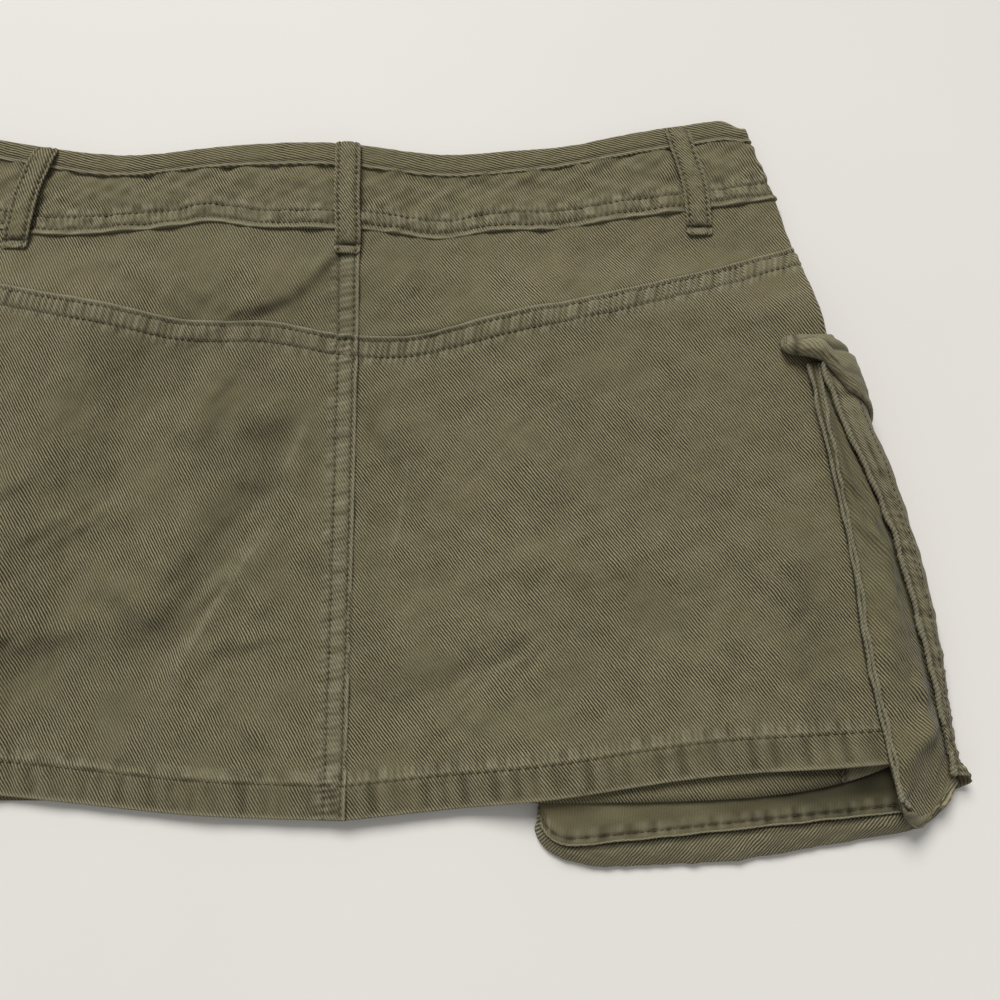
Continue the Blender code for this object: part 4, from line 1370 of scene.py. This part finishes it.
# The flap's rolled back end: how far the roll stands up, and where it has opened again
ROLL_UP = 0.0026
ROLL_ENDS = (0.04, 0.075)
ROLL_INSIDE = 0.3  # how much of that its inside follows
ROLL_FLATTENS = (1.0, 1.5)  # the roll, and then all of its relief, ends here on its way to the ground
FLAP_FLATTENS = (1.2, 1.7)
FLAP_LEAVES = (-1.0, -0.25)  # where round the bag it comes free of the skirt, and how free it is before
FLAP_FREE = 0.25
KNOT = 0.005  # how long its rounded tip is, how thin that ends, how far it hangs, and over what length
KNOT_THINNEST = 0.1
KNOT_DOWN = 0.0026
KNOT_REACH = 0.03
FLAP_WORN = 0.3  # how worn the roll is, and how much more its crest is, in shares of its rows
FLAP_CREST = Mark(0.55, 0.2, worn=0.3)
FLAP_EDGE = Mark(0.0, 0.001, worn=0.4)
FLAP_TWILL = 0.9
FLAP_TWILL_ROLLED = 0.35  # how much less boldly it shows on the roll, and how much less steeply it lies
FLAP_TURN = 12.0
FLAP_TACKS = (0.0016, 0.003)
FLAP_TACK_ENDS = 4
FLAP_TACK_PITCH = 0.0019

# Crevices of the roll: the upper one, which runs down to the tip, and the lower one, which slants, both
# across it in shares of its rows, and the waist of the knot, along it. Each starts over a stretch of it.
# Each crevice is darkened with painted shade.
UPPER = Mark(0.0, 0.06, down=0.0014, dark=0.7)
UPPER_STARTS = (0.006, 0.012)
UPPER_ROW = 0.3
UPPER_DROP = 0.26
UPPER_REACH = 0.01
LOWER = Mark(0.0, 0.06, down=0.0008, dark=0.45)
LOWER_STARTS = (0.014, 0.022)
LOWER_ROW = 0.7
LOWER_SLANT = 1.5
LOWER_FROM = 0.03
KNOT_WAIST = Mark(0.0085, 0.0011, down=0.0016, dark=0.7)
KNOT_WAIST_SLANT = 0.003
LIP = 0.0008  # how far the roll stands up below its upper crevice
LIP_WHOLE = 0.1  # in how many rows it is whole, and where it ends
LIP_ENDS = (0.75, 1.0)


def cord(name, line, up, on, looks, width=CORD, seed=0.0):
    """A twisted cord along a line on a piece, half sunk in it, with tapered ends."""
    travel = travelled(line)
    along = np.linspace(0.0, travel[-1], int(travel[-1] / CORD_STEP))
    middle = at_travel(line, travel, along)
    up = at_travel(up, travel, along)
    aside = unit(np.cross(up + SPARE_UP, np.gradient(middle, axis=0)))
    turns = directions(CORD_SIDES)
    strand = np.cos(2 * (turns - np.pi * along[:, None] / CORD_TWIST))
    to_end = along[-1] - along
    near = np.clip(np.minimum(along, to_end) / (CORD_TAPER * width), CORD_THINNEST, 1.0)
    thick = width / 2 * (1 - rounding(near)) * (1 + CORD_UNEVEN * ripple(along, CORD_UNEVEN_LENGTH, seed))
    thick = thick * (1 + CORD_BULB * smooth(*CORD_BULB_AT, to_end))
    radius = thick[:, None] * (CORD_CORE + CORD_STRANDS * strand)
    circle = np.cos(turns)[:, None] * aside[:, None] + np.sin(turns)[:, None] * up[:, None]
    sway = CORD_SWAY * width * ripple(along, CORD_SWAY_LENGTH, seed + 2)
    rings = (middle + aside * sway[:, None])[:, None] + circle * radius[..., None]
    faces = tube(len(along), CORD_SIDES)
    weave = twill(along[:, None], turns * width / 2, CORD_TWILL_ANGLE, strength=CORD_TWILL, shift=seed)
    everywhere, crests = CORD_WORN
    tone = tone_of(everywhere + crests * np.clip(strand, 0.0, 1.0), CORD_STRAND_SHADE * np.clip(-strand, 0.0, 1.0))
    piece = mesh_piece(name, rings.reshape(-1, 3), faces, looks.cloth, weave=weave, tone=tone)
    SEWN.setdefault(on, []).append(piece)


def rounded(distance, radius):
    """How far a rounded corner lifts a foot, at a distance along it from its end."""
    return radius * rounding(np.clip(distance / radius, 0.0, 1.0))


def slanted(distance):
    """How far the face's slanting corner lifts its foot, at a distance along it from the bulge's edge."""
    tip = np.clip(1 - distance / TIP_CORNER, 0.0, 1.0)
    return FACE_LIFT * np.clip(1 - distance / FACE_CORNER, 0.0, 1.0) + TIP_LIFT * tip**2


def flap_foot(distance):
    """Height of the flap's foot at a distance round from the ridge, with its slack."""
    return FLAP_SEAM_Y - FLAP_DROP - FLAP_SLACK - FOOT_SLOPE * distance


def bag_face(side, around, y, out=0.0):
    """The point of the bag's face at a place around it: 0 at its seam with the bellows, 1 and 2 where the
    bulge starts and ends, and 3 at its front edge. At -1 it is where the flap's back edge starts, behind
    the seam."""
    around, y, out = np.broadcast_arrays(around, y, out)
    over_flap = smooth(-FLAP_STEP, 0.0, y - flap_foot(POCKET_WIDTH * np.clip((around - 1) / 2, 0.0, 1.0)))
    level = CLOTH / 2 + (FLAP_CLOTH + AIR) * over_flap
    seam_x = read(BAGS[side], "seam_x", y)
    radius = (read(BAGS[side], "seam_z", y) - level) / 2
    centre = np.maximum(read(BAGS[side], "bulge_x", y) - radius, seam_x)
    turn = np.pi * np.clip(around - 1, 0.0, 1.0)
    x = seam_x + FLAP_BEHIND * np.minimum(around, 0.0) + (centre - seam_x) * np.clip(around, 0.0, 1.0)
    x = x + (radius + out) * np.sin(turn) - (centre - bag_front_x(side, y)) * np.clip(around - 2, 0.0, None)
    z = level + radius + (radius + out) * np.cos(turn)
    return np.stack([side * x, y, z], axis=-1)


def around_bag(side, steps, back=0.0, past=0.0):
    """Places around the face, with one where each of its corners starts. Back and past carry its ends
    on."""
    width = read(BAGS[side], "seam_x", POCKET_FOOT_Y) - bag_front_x(side, POCKET_FOOT_Y)
    slant = min(FACE_CORNER / width, SLANT_MOST)
    knots = [-back, 1.0, 2.0, 2.0 + slant, 3.0 - CORNER / width, 3.0 + past]
    return through(knots, places(steps))


def bag_grid(side):
    """Places around the bag's face and heights, and the distance round from the ridge."""
    around = around_bag(side, POCKET_STEPS[side])
    distance = POCKET_WIDTH * np.clip(around - 1, 0.0, None) / 2
    mouth = MOUTH_Y - FOOT_SLOPE * distance
    flap = flap_foot(distance)
    foot = POCKET_FOOT_Y - FACE_DROP - FOOT_SLOPE * distance
    foot = foot + slanted(POCKET_WIDTH * np.clip(around - SLANT_START, 0.0, None))
    foot = foot + rounded(POCKET_WIDTH - distance, CORNER)
    return around, through([mouth, flap, flap - FLAP_STEP, foot + FOOT_BAND, foot], places(POCKET_ROWS).T)


def across_skirt(side, y, steps, back=0.0, past=0.0):
    """Distances round the skirt under the pocket, from its ridge over the fold and under to its front
    edge. Back and past carry the ends on."""
    fold = fold_x(side, y)
    slope = 2 * fold + FOLD_ROUND - slope_ends(side, y)[1]
    corner = fold + FOLD_ROUND + FACE_CORNER
    knots = [ridge_x(y) - back, fold, fold + FOLD_ROUND, corner, slope, front_edge(y) + past]
    return through(knots, places(steps))


def backing_grid(side):
    """Distances and heights of the backing, which lies on the skirt."""
    steps = POCKET_STEPS[side]
    near_foot = 1 - FOOT_BAND / (MOUTH_Y - POCKET_FOOT_Y)
    down = through([0.0, near_foot, 1.0], places((sum(POCKET_ROWS[:-1]), POCKET_ROWS[-1])).T)
    level = MOUTH_Y + (POCKET_FOOT_Y - MOUTH_Y) * down
    width = front_edge(level) - ridge_x(level)
    distance = np.clip(across_skirt(side, level, steps) - ridge_x(level), 0.0, width)
    corners = rounded(distance, RIDGE_CORNER) + rounded(width - distance, CORNER)
    y = level - FOOT_SLOPE * distance + corners * down
    return across_skirt(side, y, steps), y


def outline(grid):
    """A grid's edge down its first side, along its foot and up its last side."""
    return np.concatenate([grid[0], grid[1:-1, -1], grid[-1, ::-1]])


def flicked(side, around, y):
    """The bag's face with its bottom corner sticking out."""
    points = bag_face(side, around, y)
    share = hump((around - FLICK_AT) / FLICK_WIDTH) * (1 - smooth(0.0, FLICK_UP, y - y[:, -1:]))
    points[..., 0] += side * FLICK * share
    return points


def build_pocket(side, name, looks):
    """A pocket's backing, face, bellows and flap, with the cords along their seams."""
    backing = build_backing(side, name, looks)
    around, y = bag_grid(side)
    face = build_face(side, name, around, y, looks)
    inner = outline(lay(side, *backing_grid(side), 2 * (CLOTH + AIR)))
    outer = outline(bag_face(side, around, y, -CLOTH - AIR))
    build_bellows(side, name, inner, outer, looks)
    on = f"pocket_face_{name}"
    line = face.surface[0] + face.normals[0] * FACE_CORD / 4
    cord(f"{on}_cord", line, face.normals[0], on, looks, width=FACE_CORD, seed=1.7)
    on = f"pocket_backing_{name}"
    foot = slice(PIPING_INSET, -PIPING_INSET), -1
    cord(f"{on}_piping", backing.surface[foot], backing.normals[foot], on, looks, width=PIPING, seed=0.6)
    build_flap(side, name, looks)


def build_backing(side, name, looks):
    """The backing, which lies on the skirt and has painted shade in the gap under the hem."""
    distance, y = backing_grid(side)
    x = side * distance
    foot = y - y[:, -1:]
    relief = Relief(lay(side, distance, y, CLOTH + AIR))
    relief.soften(x, y, 5.3, *BACKING_SLACK)
    relief.sew(foot, FOOT_STITCHES, nearest(foot[len(foot) // 2], FOOT_STITCHES))
    relief.pucker(x, foot, 0.0, FOOT_STITCHES + PAST_LAP, 2.6)
    relief.dark += all_over(BACKING_DARK, x, y, 1.9)
    in_gap = smooth(*GAP_X, relief.points[..., 0])
    relief.dark += in_gap * (GAP_FOOT_SHADE + GAP_SHADE * smooth(*GAP_FOOT, foot))
    weave = twill(x, y, BACKING_TWILL_ANGLE, strength=BACKING_TWILL, shift=0.9)
    return shell(f"pocket_backing_{name}", -side, relief, weave, looks)


def build_face(side, name, around, y, looks):
    """The face, which goes round the bag's bulge and under it."""
    relief = Relief(flicked(side, around, y))
    edge = travelled(relief.points)
    relief.sew(edge, FACE_STITCHES, column(nearest(edge[:, edge.shape[1] // 2], FACE_STITCHES)))
    relief.pucker(y, edge, 0.0, FACE_STITCHES + PAST_LAP, 3.3)
    relief.mark(edge, SHADE_BESIDE_FACE_CORD)
    relief.soften(edge, y, 1.1, *FACE_SLACK)
    relief.out *= 1 - smooth(*FACE_LIES, around)
    weave = twill(side * edge, y, shift=0.4)
    return shell(f"pocket_face_{name}", side, relief, weave, looks)


def eased(points, along, corner):
    """A strip's points with a softer turn at its corner, the number of a column. Its two edges stay."""
    near = hump((along[:, None] - along[None, :]) / CORNER_EASE) * np.gradient(along)[None, :]
    soft = np.einsum("ij,jkl->ikl", near / near.sum(axis=1, keepdims=True), points)
    share = hump((along - along[corner]) / CORNER_REACH)[:, None]
    share = share * np.sin(np.pi * np.linspace(0.0, 1.0, points.shape[1])) ** EASE_FLAT
    return points + (soft - points) * share[..., None]


def lobed(side, points, along, corner):
    """A strip's points with its middle hanging out at its corner, the number of a column."""
    share = hump((along - along[corner]) / LOBE_REACH)[:, None]
    across = np.linspace(0.0, 1.0, points.shape[1]) ** LOBE_LEAN
    share = share * np.sin(np.pi * across) ** LOBE_FLAT
    return points + share[..., None] * np.array([side * LOBE_OUT, -LOBE_DOWN, -LOBE_SINK])


def matched(side, inner, outer, first, last):
    """The outer line with its foot's points, the first to the last, moved along it until each lies
    straight across from its partner on the inner line, apart from those near the ends."""
    foot = slice(first, last + 1)
    x, old = side * inner[foot, 0], side * outer[foot, 0]
    run = x[0] - x
    skew = (old[0] - x[0]) * (1 - smooth(0.0, SKEW_REACH, run))
    end = smooth(run[-1] - SKEW_END, run[-1], run)
    wanted = (x + skew) * (1 - end) + old * end
    moved = outer.copy()
    for k in range(3):
        moved[foot, k] = np.interp(wanted, old[::-1], outer[foot, k][::-1])
    return moved


def build_bellows(side, name, inner, outer, looks):
    """The strip between the backing's outline and the face's, with a pair of cords down its inner seam."""
    rows = sum(POCKET_ROWS)
    outer = matched(side, inner, outer, rows + sum(POCKET_STEPS[side][:2]), len(inner) - 1 - rows)
    width = np.linalg.norm(outer - inner, axis=1)
    swell = BELLOWS_SWELL[side] * width * smooth(MOUTH_Y, MOUTH_Y - CORNER, inner[:, 1])
    share = np.linspace(0.0, 1.0, BELLOWS_ROWS + 1)[None, :]
    points = inner[:, None] + (outer - inner)[:, None] * share[..., None]
    points[..., 2] += swell[:, None] * np.sin(np.pi * share)
    along = travelled(points)[:, :1]
    points = lobed(side, eased(points, along[:, 0], rows), along[:, 0], rows)
    across = travelled(points, axis=1)
    to_outer = across[:, -1:] - across
    past_corner = along - along[rows]
    on_side = 1 - smooth(-CORNER_BLEND, CORNER_BLEND, past_corner)
    along = along + 0 * share
    pair = CORD_PAIR + (CORD_PAIR_TOP - CORD_PAIR) * (1 - smooth(*CORD_CLOSES, along))

    relief = Relief(points)
    relief.out += smooth(*OFF_GROUND, points[..., 2]) * creased(BELLOWS_FOLDS, along, -across)
    relief.under += relief.out
    relief.soften(along, across, 2.9, *BELLOWS_SLACK)
    relief.mark(across - pair / 2, PAIR_FURROW)
    relief.mark(across - pair, PAIR_SHADE)
    relief.mark(to_outer, *OUTER_FURROW, share=on_side)
    # painted shade on the steep sides of the bellows' folds
    relief.dark += painted_crease_shade(BELLOWS_FOLDS, along, -across) + on_side * BELLOWS_SIDE_DARK
    relief.worn += (1 - on_side) * BELLOWS_FOOT_WORN

    x, y = side * points[..., 0], points[..., 1]
    top, more = BELLOWS_TWILL
    strength = (top + more * smooth(*BELLOWS_TWILL_AT, along)) * (1 - hump(past_corner / CORNER_SMOOTH))
    down_side = twill(x, y, BELLOWS_SIDE_ANGLE, strength=strength)
    along_foot = twill(x, y, BELLOWS_FOOT_ANGLE, strength=strength)
    weave = np.where((np.arange(len(points)) < rows)[:, None, None], down_side, along_foot)
    piece = f"pocket_bellows_{name}"
    made = shell(piece, -side, relief, weave, looks)
    build_pair(side, piece, made, across, pair, rows - CORD_ROWS_FREE, looks)


def build_pair(side, piece, made, across, pair, last, looks):
    """The pair of cords down a bellows' inner seam to its last row before the corner, with their ends
    hanging."""
    for number in (0, 1):
        off = pair[:last, :1] * number + CORD / 4
        under_cord = np.arange(last), np.argmin(np.abs(across[:last] - off), axis=1)
        line, up = made.surface[under_cord], made.normals[under_cord]
        run = unit(line[-1] - line[-5]) + np.array([CORD_LEANS_OUT * side * number, 0.0, CORD_LEANS_UP])
        line = np.concatenate([line, [line[-1] + CORD_PAST * run]])
        up = np.concatenate([up, up[-1:]])
        cord(f"{piece}_cord_{number}", line, up, piece, looks, seed=2.1 + number)


def flap_points(side, steps):
    """The flap's grid of points, drawn together towards its back edge, and the places round the bag."""
    proud = CLOTH / 2 + AIR + FLAP_CLOTH / 2
    around = around_bag(side, steps, 1.0, FLAP_PAST)
    unrolled = np.clip((around + 1) / (FLAP_ROLL_END + 1), 0.0, 1.0)
    hanging = FLAP_ROLLED + (1 - FLAP_ROLLED) * unrolled**2
    depth = FLAP_DROP * hanging * FLAP_ROWS
    level = FLAP_SEAM_Y - depth
    past = FLAP_OVERHANG, FLAP_OVERHANG / 2
    y = level - FOOT_SLOPE * (across_skirt(side, level, steps, *past) - ridge_x(level))
    on_skirt = lay(side, across_skirt(side, y, steps, *past), y, proud)
    on_bag = bag_face(side, around, y, proud)
    reached = smooth(0.0, FLAP_REACH, depth) * (FLAP_FREE + (1 - FLAP_FREE) * smooth(*FLAP_LEAVES, around))
    return on_skirt + (on_bag - on_skirt) * reached[..., None], around, depth, y


def build_flap(side, name, looks):
    """The flap, which is rolled up into a soft band with a knotted end towards its back edge."""
    points, around, depth, y = flap_points(side, (FLAP_BACK_STEPS, *POCKET_STEPS[side][1:]))
    middle = len(FLAP_ROWS) // 2
    travel = travelled(points)[:, middle : middle + 1]
    end = 1 - rounding(np.clip(travel / KNOT, KNOT_THINNEST, 1.0))
    points = points[:, middle : middle + 1] + (points - points[:, middle : middle + 1]) * end[..., None]
    points[..., 1] -= KNOT_DOWN * (1 - smooth(0.0, KNOT_REACH, travel))

    relief = Relief(points)
    rolled = 1 - smooth(*ROLL_ENDS, travel)
    bulge = np.sqrt(np.clip(1 - (2 * FLAP_ROWS - 1) ** 2, 0.0, 1.0))
    relief.out += ROLL_UP * rolled * end * bulge * (1 - smooth(*ROLL_FLATTENS, around))
    relief.under += ROLL_INSIDE * relief.out
    upper = FLAP_ROWS - UPPER_ROW - UPPER_DROP * np.exp(-(travel - UPPER_STARTS[0]) / UPPER_REACH)
    lower = FLAP_ROWS - LOWER_ROW + LOWER_SLANT * (travel - LOWER_FROM)
    lip = smooth(0.0, LIP_WHOLE, upper) * (1 - smooth(*LIP_ENDS, FLAP_ROWS))
    relief.out += LIP * rolled * end * lip
    relief.mark(upper, UPPER, share=rolled * smooth(*UPPER_STARTS, travel))
    relief.mark(lower, LOWER, share=rolled * smooth(*LOWER_STARTS, travel))
    relief.mark(travel + KNOT_WAIST_SLANT * FLAP_ROWS, KNOT_WAIST)
    relief.soften(travel, y, 4.4, *FLAP_WAVES)
    relief.flatten(1 - smooth(*FLAP_FLATTENS, around))
    relief.worn += rolled * FLAP_WORN
    relief.mark(FLAP_ROWS, FLAP_CREST, share=rolled)
    relief.mark(depth[:, -1:] - depth, FLAP_EDGE)

    x = side * points[0, middle, 0] + travel
    strength = FLAP_TWILL - FLAP_TWILL_ROLLED * rolled
    weave = twill(x, y, TWILL_ANGLE - FLAP_TURN * rolled, strength=strength, shift=0.2)
    piece = f"pocket_flap_{name}"
    made = shell(piece, side, relief, weave, looks, thickness=FLAP_CLOTH)
    tack = Stitches()
    for at in FLAP_TACKS:
        line = nearest(travel[:, 0], at), slice(FLAP_TACK_ENDS, -FLAP_TACK_ENDS)
        tack.row(made.surface[line], made.normals[line], FLAP_TACK_PITCH)
    tack.build(f"{piece}_tack", looks.thread, piece)


# Materials

# How a material varies: over what size, between which heights of a noise, from what to what, and in what
# detail. Sizes on the cloth are in millimetres, and elsewhere in metres.
Grain = namedtuple("Grain", "size low high least most detail", defaults=(0.0, 1.0, 1.0))
RIB_DRIFT = Grain(9.0, 0.0, 1.0, -0.45, 0.45)
RIB_WANDER = Grain(1.6, 0.0, 1.0, -0.22, 0.22)
YARN = Grain(1.0, 0.25, 0.75, detail=2.0)
YARN_STRETCH = (0.45, 2.2, 1.0)
YARN_HIGH = 0.5  # how high its unevenness is beside a rib
RIB_ENDS = (-0.75, 0.85)  # how far up the wave of a rib is dark, and where it is wholly light
RIB_BROKEN = (0.78, 1.24)
BOLD = Grain(22.0, 0.3, 0.62, 0.42, 1.0, 2.0)
GREENER = Grain(30.0, 0.35, 0.65)
FINE_GRAIN = Grain(0.5, 0.25, 0.75, 0.76, 1.24, 2.0)
CLOUDS = Grain(28.0, 0.3, 0.7, 0.96, 1.04, 2.0)
SMOOTH_LIGHT = 0.86  # how much of the cloth's colour is light where no ribs show
WORN_YARN = (0.35, 0.8)
THREAD_TINT = Grain(0.004, 0.3, 0.7, 0.8, 1.25)
METAL_TINT = (0.3, 0.7, 0.75, 1.15)
METAL_ROUGH = Grain(0.004, 0.3, 0.7, 0.35, 0.6, 3.0)
FLOOR_TINT = Grain(0.25, 0.3, 0.7, 0.985, 1.01, 3.0)
NOISE_ROUGHNESS = 0.55


class Nodes:
    """Short ways to add shader nodes and join them up."""

    def __init__(self, name):
        self.material = bpy.data.materials.new(name)
        self.material.use_nodes = True
        self.tree = self.material.node_tree
        self.shader = self.tree.nodes["Principled BSDF"]

    def add(self, kind, inputs, output=0, **settings):
        node = self.tree.nodes.new(kind)
        for key, value in settings.items():
            setattr(node, key, value)
        for key, value in inputs.items():
            if hasattr(value, "is_output"):
                self.tree.links.new(value, node.inputs[key])
            else:
                node.inputs[key].default_value = value
        return node.outputs[output]

    def maths(self, operation, *values):
        return self.add("ShaderNodeMath", dict(enumerate(values)), operation=operation)

    def ramp(self, value, low, high, to_low=0.0, to_high=1.0):
        numbers = {"Value": value, "From Min": low, "From Max": high, "To Min": to_low, "To Max": to_high}
        return self.add("ShaderNodeMapRange", numbers)

    def noise(self, place, size, detail=1.0, stretch=(1, 1, 1)):
        scale = tuple(k / size for k in stretch)
        scaled = self.add("ShaderNodeVectorMath", {0: place, 1: scale}, operation="MULTIPLY")
        numbers = {"Vector": scaled, "Scale": 1.0, "Detail": detail, "Roughness": NOISE_ROUGHNESS}
        return self.add("ShaderNodeTexNoise", numbers)

    def uneven(self, place, grain, stretch=(1, 1, 1)):
        """A value that varies over a place as a grain says."""
        ends = grain.low, grain.high, grain.least, grain.most
        return self.ramp(self.noise(place, grain.size, grain.detail, stretch), *ends)

    def tinted(self, colour, tint):
        return self.mix(1.0, colour, tint, blend="MULTIPLY")

    def mix(self, share, first, second, blend="MIX"):
        numbers = {0: share, 6: first, 7: second}
        return self.add("ShaderNodeMix", numbers, output=2, data_type="RGBA", blend_type=blend)

    def layer(self, name):
        return self.add("ShaderNodeAttribute", {}, output=1, attribute_name=name)

    def on_object(self):
        return self.add("ShaderNodeTexCoord", {}, output=3)

    def parts(self, vector):
        node = self.tree.nodes.new("ShaderNodeSeparateXYZ")
        self.tree.links.new(vector, node.inputs[0])
        return node.outputs

    def finish(self, colour, roughness, bump=None, depth=0.0002, **fixed):
        self.link(colour, "Base Color")
        self.link(roughness, "Roughness")
        for key, value in fixed.items():
            self.shader.inputs[key.replace("_", " ")].default_value = value
        if bump is not None:
            normal = self.add("ShaderNodeBump", {"Height": bump, "Distance": depth, "Strength": 1.0})
            self.link(normal, "Normal")
        return self.material

    def link(self, value, key):
        if hasattr(value, "is_output"):
            self.tree.links.new(value, self.shader.inputs[key])
        else:
            self.shader.inputs[key].default_value = value


DARK_OLIVE = (0.02, 0.016, 0.007, 1.0)
LIGHT_OLIVE = (0.312, 0.277, 0.159, 1.0)
SMOOTH_OLIVE = (0.16, 0.139, 0.074, 1.0)
GREEN_OLIVE = (0.152, 0.141, 0.076, 1.0)
WORN_OLIVE = (0.33, 0.308, 0.215, 1.0)
# the colour of painted shade
SHADE_OLIVE = (0.018, 0.015, 0.007, 1.0)
# the thread's olive, darkened with painted shade
SHADED_THREAD_OLIVE = (0.062, 0.051, 0.025, 1.0)
MILD_STEEL = (0.3, 0.27, 0.22, 1.0)
FLOOR_WHITE = (0.8, 0.785, 0.755, 1.0)


def twill_cloth():
    """Washed olive twill: slanting lines of light yarn over dark, soft patches where they are worn smooth,
    lighter worn edges, and painted shade in furrows and folds where the layers say."""
    nodes = Nodes("olive_twill")
    weave = nodes.layer("weave")
    line, across, strength = nodes.parts(weave)
    worn, dark, _ = nodes.parts(nodes.layer("tone"))
    place = nodes.add("ShaderNodeCombineXYZ", {0: line, 1: across})
    drift = nodes.uneven(place, RIB_DRIFT)
    wander = nodes.uneven(place, RIB_WANDER)
    shifted = nodes.maths("ADD", nodes.maths("ADD", across, drift), wander)
    turn = nodes.maths("MULTIPLY", shifted, 2 * np.pi / (TWILL_PERIOD * MILLIMETRES))
    rib = nodes.ramp(nodes.maths("COSINE", turn), *RIB_ENDS)
    yarn = nodes.uneven(place, YARN, YARN_STRETCH)
    bold = nodes.maths("MULTIPLY", nodes.uneven(place, BOLD), strength)
    height = nodes.maths("MULTIPLY", nodes.maths("MULTIPLY_ADD", yarn, YARN_HIGH, rib), bold)
    flat = nodes.mix(nodes.uneven(place, GREENER), SMOOTH_OLIVE, GREEN_OLIVE)
    half = nodes.mix(SMOOTH_LIGHT, DARK_OLIVE, flat)
    broken = nodes.maths("MULTIPLY", rib, nodes.ramp(yarn, 0.0, 1.0, *RIB_BROKEN))
    lined = nodes.mix(broken, DARK_OLIVE, LIGHT_OLIVE)
    colour = nodes.mix(bold, half, lined)
    grain = nodes.uneven(place, FINE_GRAIN)
    colour = nodes.tinted(colour, nodes.maths("MULTIPLY", grain, nodes.uneven(place, CLOUDS)))
    worn = nodes.maths("MULTIPLY", worn, nodes.ramp(yarn, 0.0, 1.0, *WORN_YARN))
    colour = nodes.mix(worn, colour, WORN_OLIVE)
    # painted shade, as much as the tone layer's second value says
    colour = nodes.mix(dark, colour, SHADE_OLIVE)
    return nodes.finish(colour, 0.92, bump=height, depth=0.00022, Specular_IOR_Level=0.25, Sheen_Weight=0.12)


def sewing_thread():
    """Olive thread, darkened with painted shade, with soft changes of tint."""
    nodes = Nodes("sewing_thread")
    place = nodes.on_object()
    colour = nodes.tinted(SHADED_THREAD_OLIVE, nodes.uneven(place, THREAD_TINT))
    return nodes.finish(colour, 0.7, bump=nodes.noise(place, 0.0004), depth=0.00005, Specular_IOR_Level=0.3)


def worn_metal():
    """Dull steel with fine scratches."""
    nodes = Nodes("worn_metal")
    place = nodes.on_object()
    scratch = nodes.noise(place, 0.0012, detail=4.0)
    colour = nodes.tinted(MILD_STEEL, nodes.ramp(scratch, *METAL_TINT))
    return nodes.finish(colour, nodes.uneven(place, METAL_ROUGH), bump=scratch, depth=0.00004, Metallic=0.9)


def pale_floor():
    """A plain pale floor, hardly uneven."""
    nodes = Nodes("pale_floor")
    place = nodes.on_object()
    colour = nodes.tinted(FLOOR_WHITE, nodes.uneven(place, FLOOR_TINT))
    return nodes.finish(colour, 0.6, bump=nodes.noise(place, 0.002, detail=3.0), depth=0.00002)


# The scene round it

FLOOR_SIZE = 6.0
SKY = (1.0, 0.985, 0.96, 1.0)
SKY_STRENGTH = 0.34
WINDOW = (1.0, 0.985, 0.955)
WINDOW_STRENGTH = 2.7
WINDOW_ANGLE = 28.0  # how wide the light is, which makes its shadows soft
WINDOW_PLACE = (-0.35, 0.9, 1.0)
LENS = 36.0
CAMERA_PLACE = (0.0828, -0.09, 0.4433)
CAMERA_TILT = 10.0


def build_stage():
    """A pale floor, an even sky and one soft light from the upper left."""
    bpy.ops.mesh.primitive_plane_add(size=FLOOR_SIZE)
    floor = bpy.context.object
    floor.name = "floor"
    floor.data.materials.append(pale_floor())
    world = bpy.data.worlds.new("studio")
    bpy.context.scene.world = world
    world.use_nodes = True
    sky = world.node_tree.nodes["Background"].inputs
    sky["Color"].default_value = SKY
    sky["Strength"].default_value = SKY_STRENGTH
    light = bpy.data.lights.new("window", "SUN")
    light.angle = np.radians(WINDOW_ANGLE)
    light.energy = WINDOW_STRENGTH
    light.color = WINDOW
    lamp = bpy.data.objects.new("window", light)
    lamp.location = WINDOW_PLACE
    lamp.rotation_euler = (-Vector(WINDOW_PLACE)).to_track_quat("-Z", "Y").to_euler()
    bpy.context.scene.collection.objects.link(lamp)
    bpy.context.scene.view_settings.view_transform = "Standard"


def build_camera():
    """The camera looks down on the right half of the back, nearly from above."""
    data = bpy.data.cameras.new("camera")
    data.lens = LENS
    data.sensor_width = 36.0
    data.clip_start = 0.01
    camera = bpy.data.objects.new("camera", data)
    camera.location = CAMERA_PLACE
    camera.rotation_euler = (np.radians(CAMERA_TILT), 0.0, 0.0)
    bpy.context.scene.collection.objects.link(camera)
    bpy.context.scene.camera = camera


def main():
    looks = Looks(twill_cloth(), sewing_thread(), worn_metal())
    build_back(looks)
    build_waist(looks)
    build_front(looks)
    build_loops(looks)
    build_button(looks)
    for side, name in SIDES:
        build_pocket(side, name, looks)
    build_stage()
    build_camera()


main()
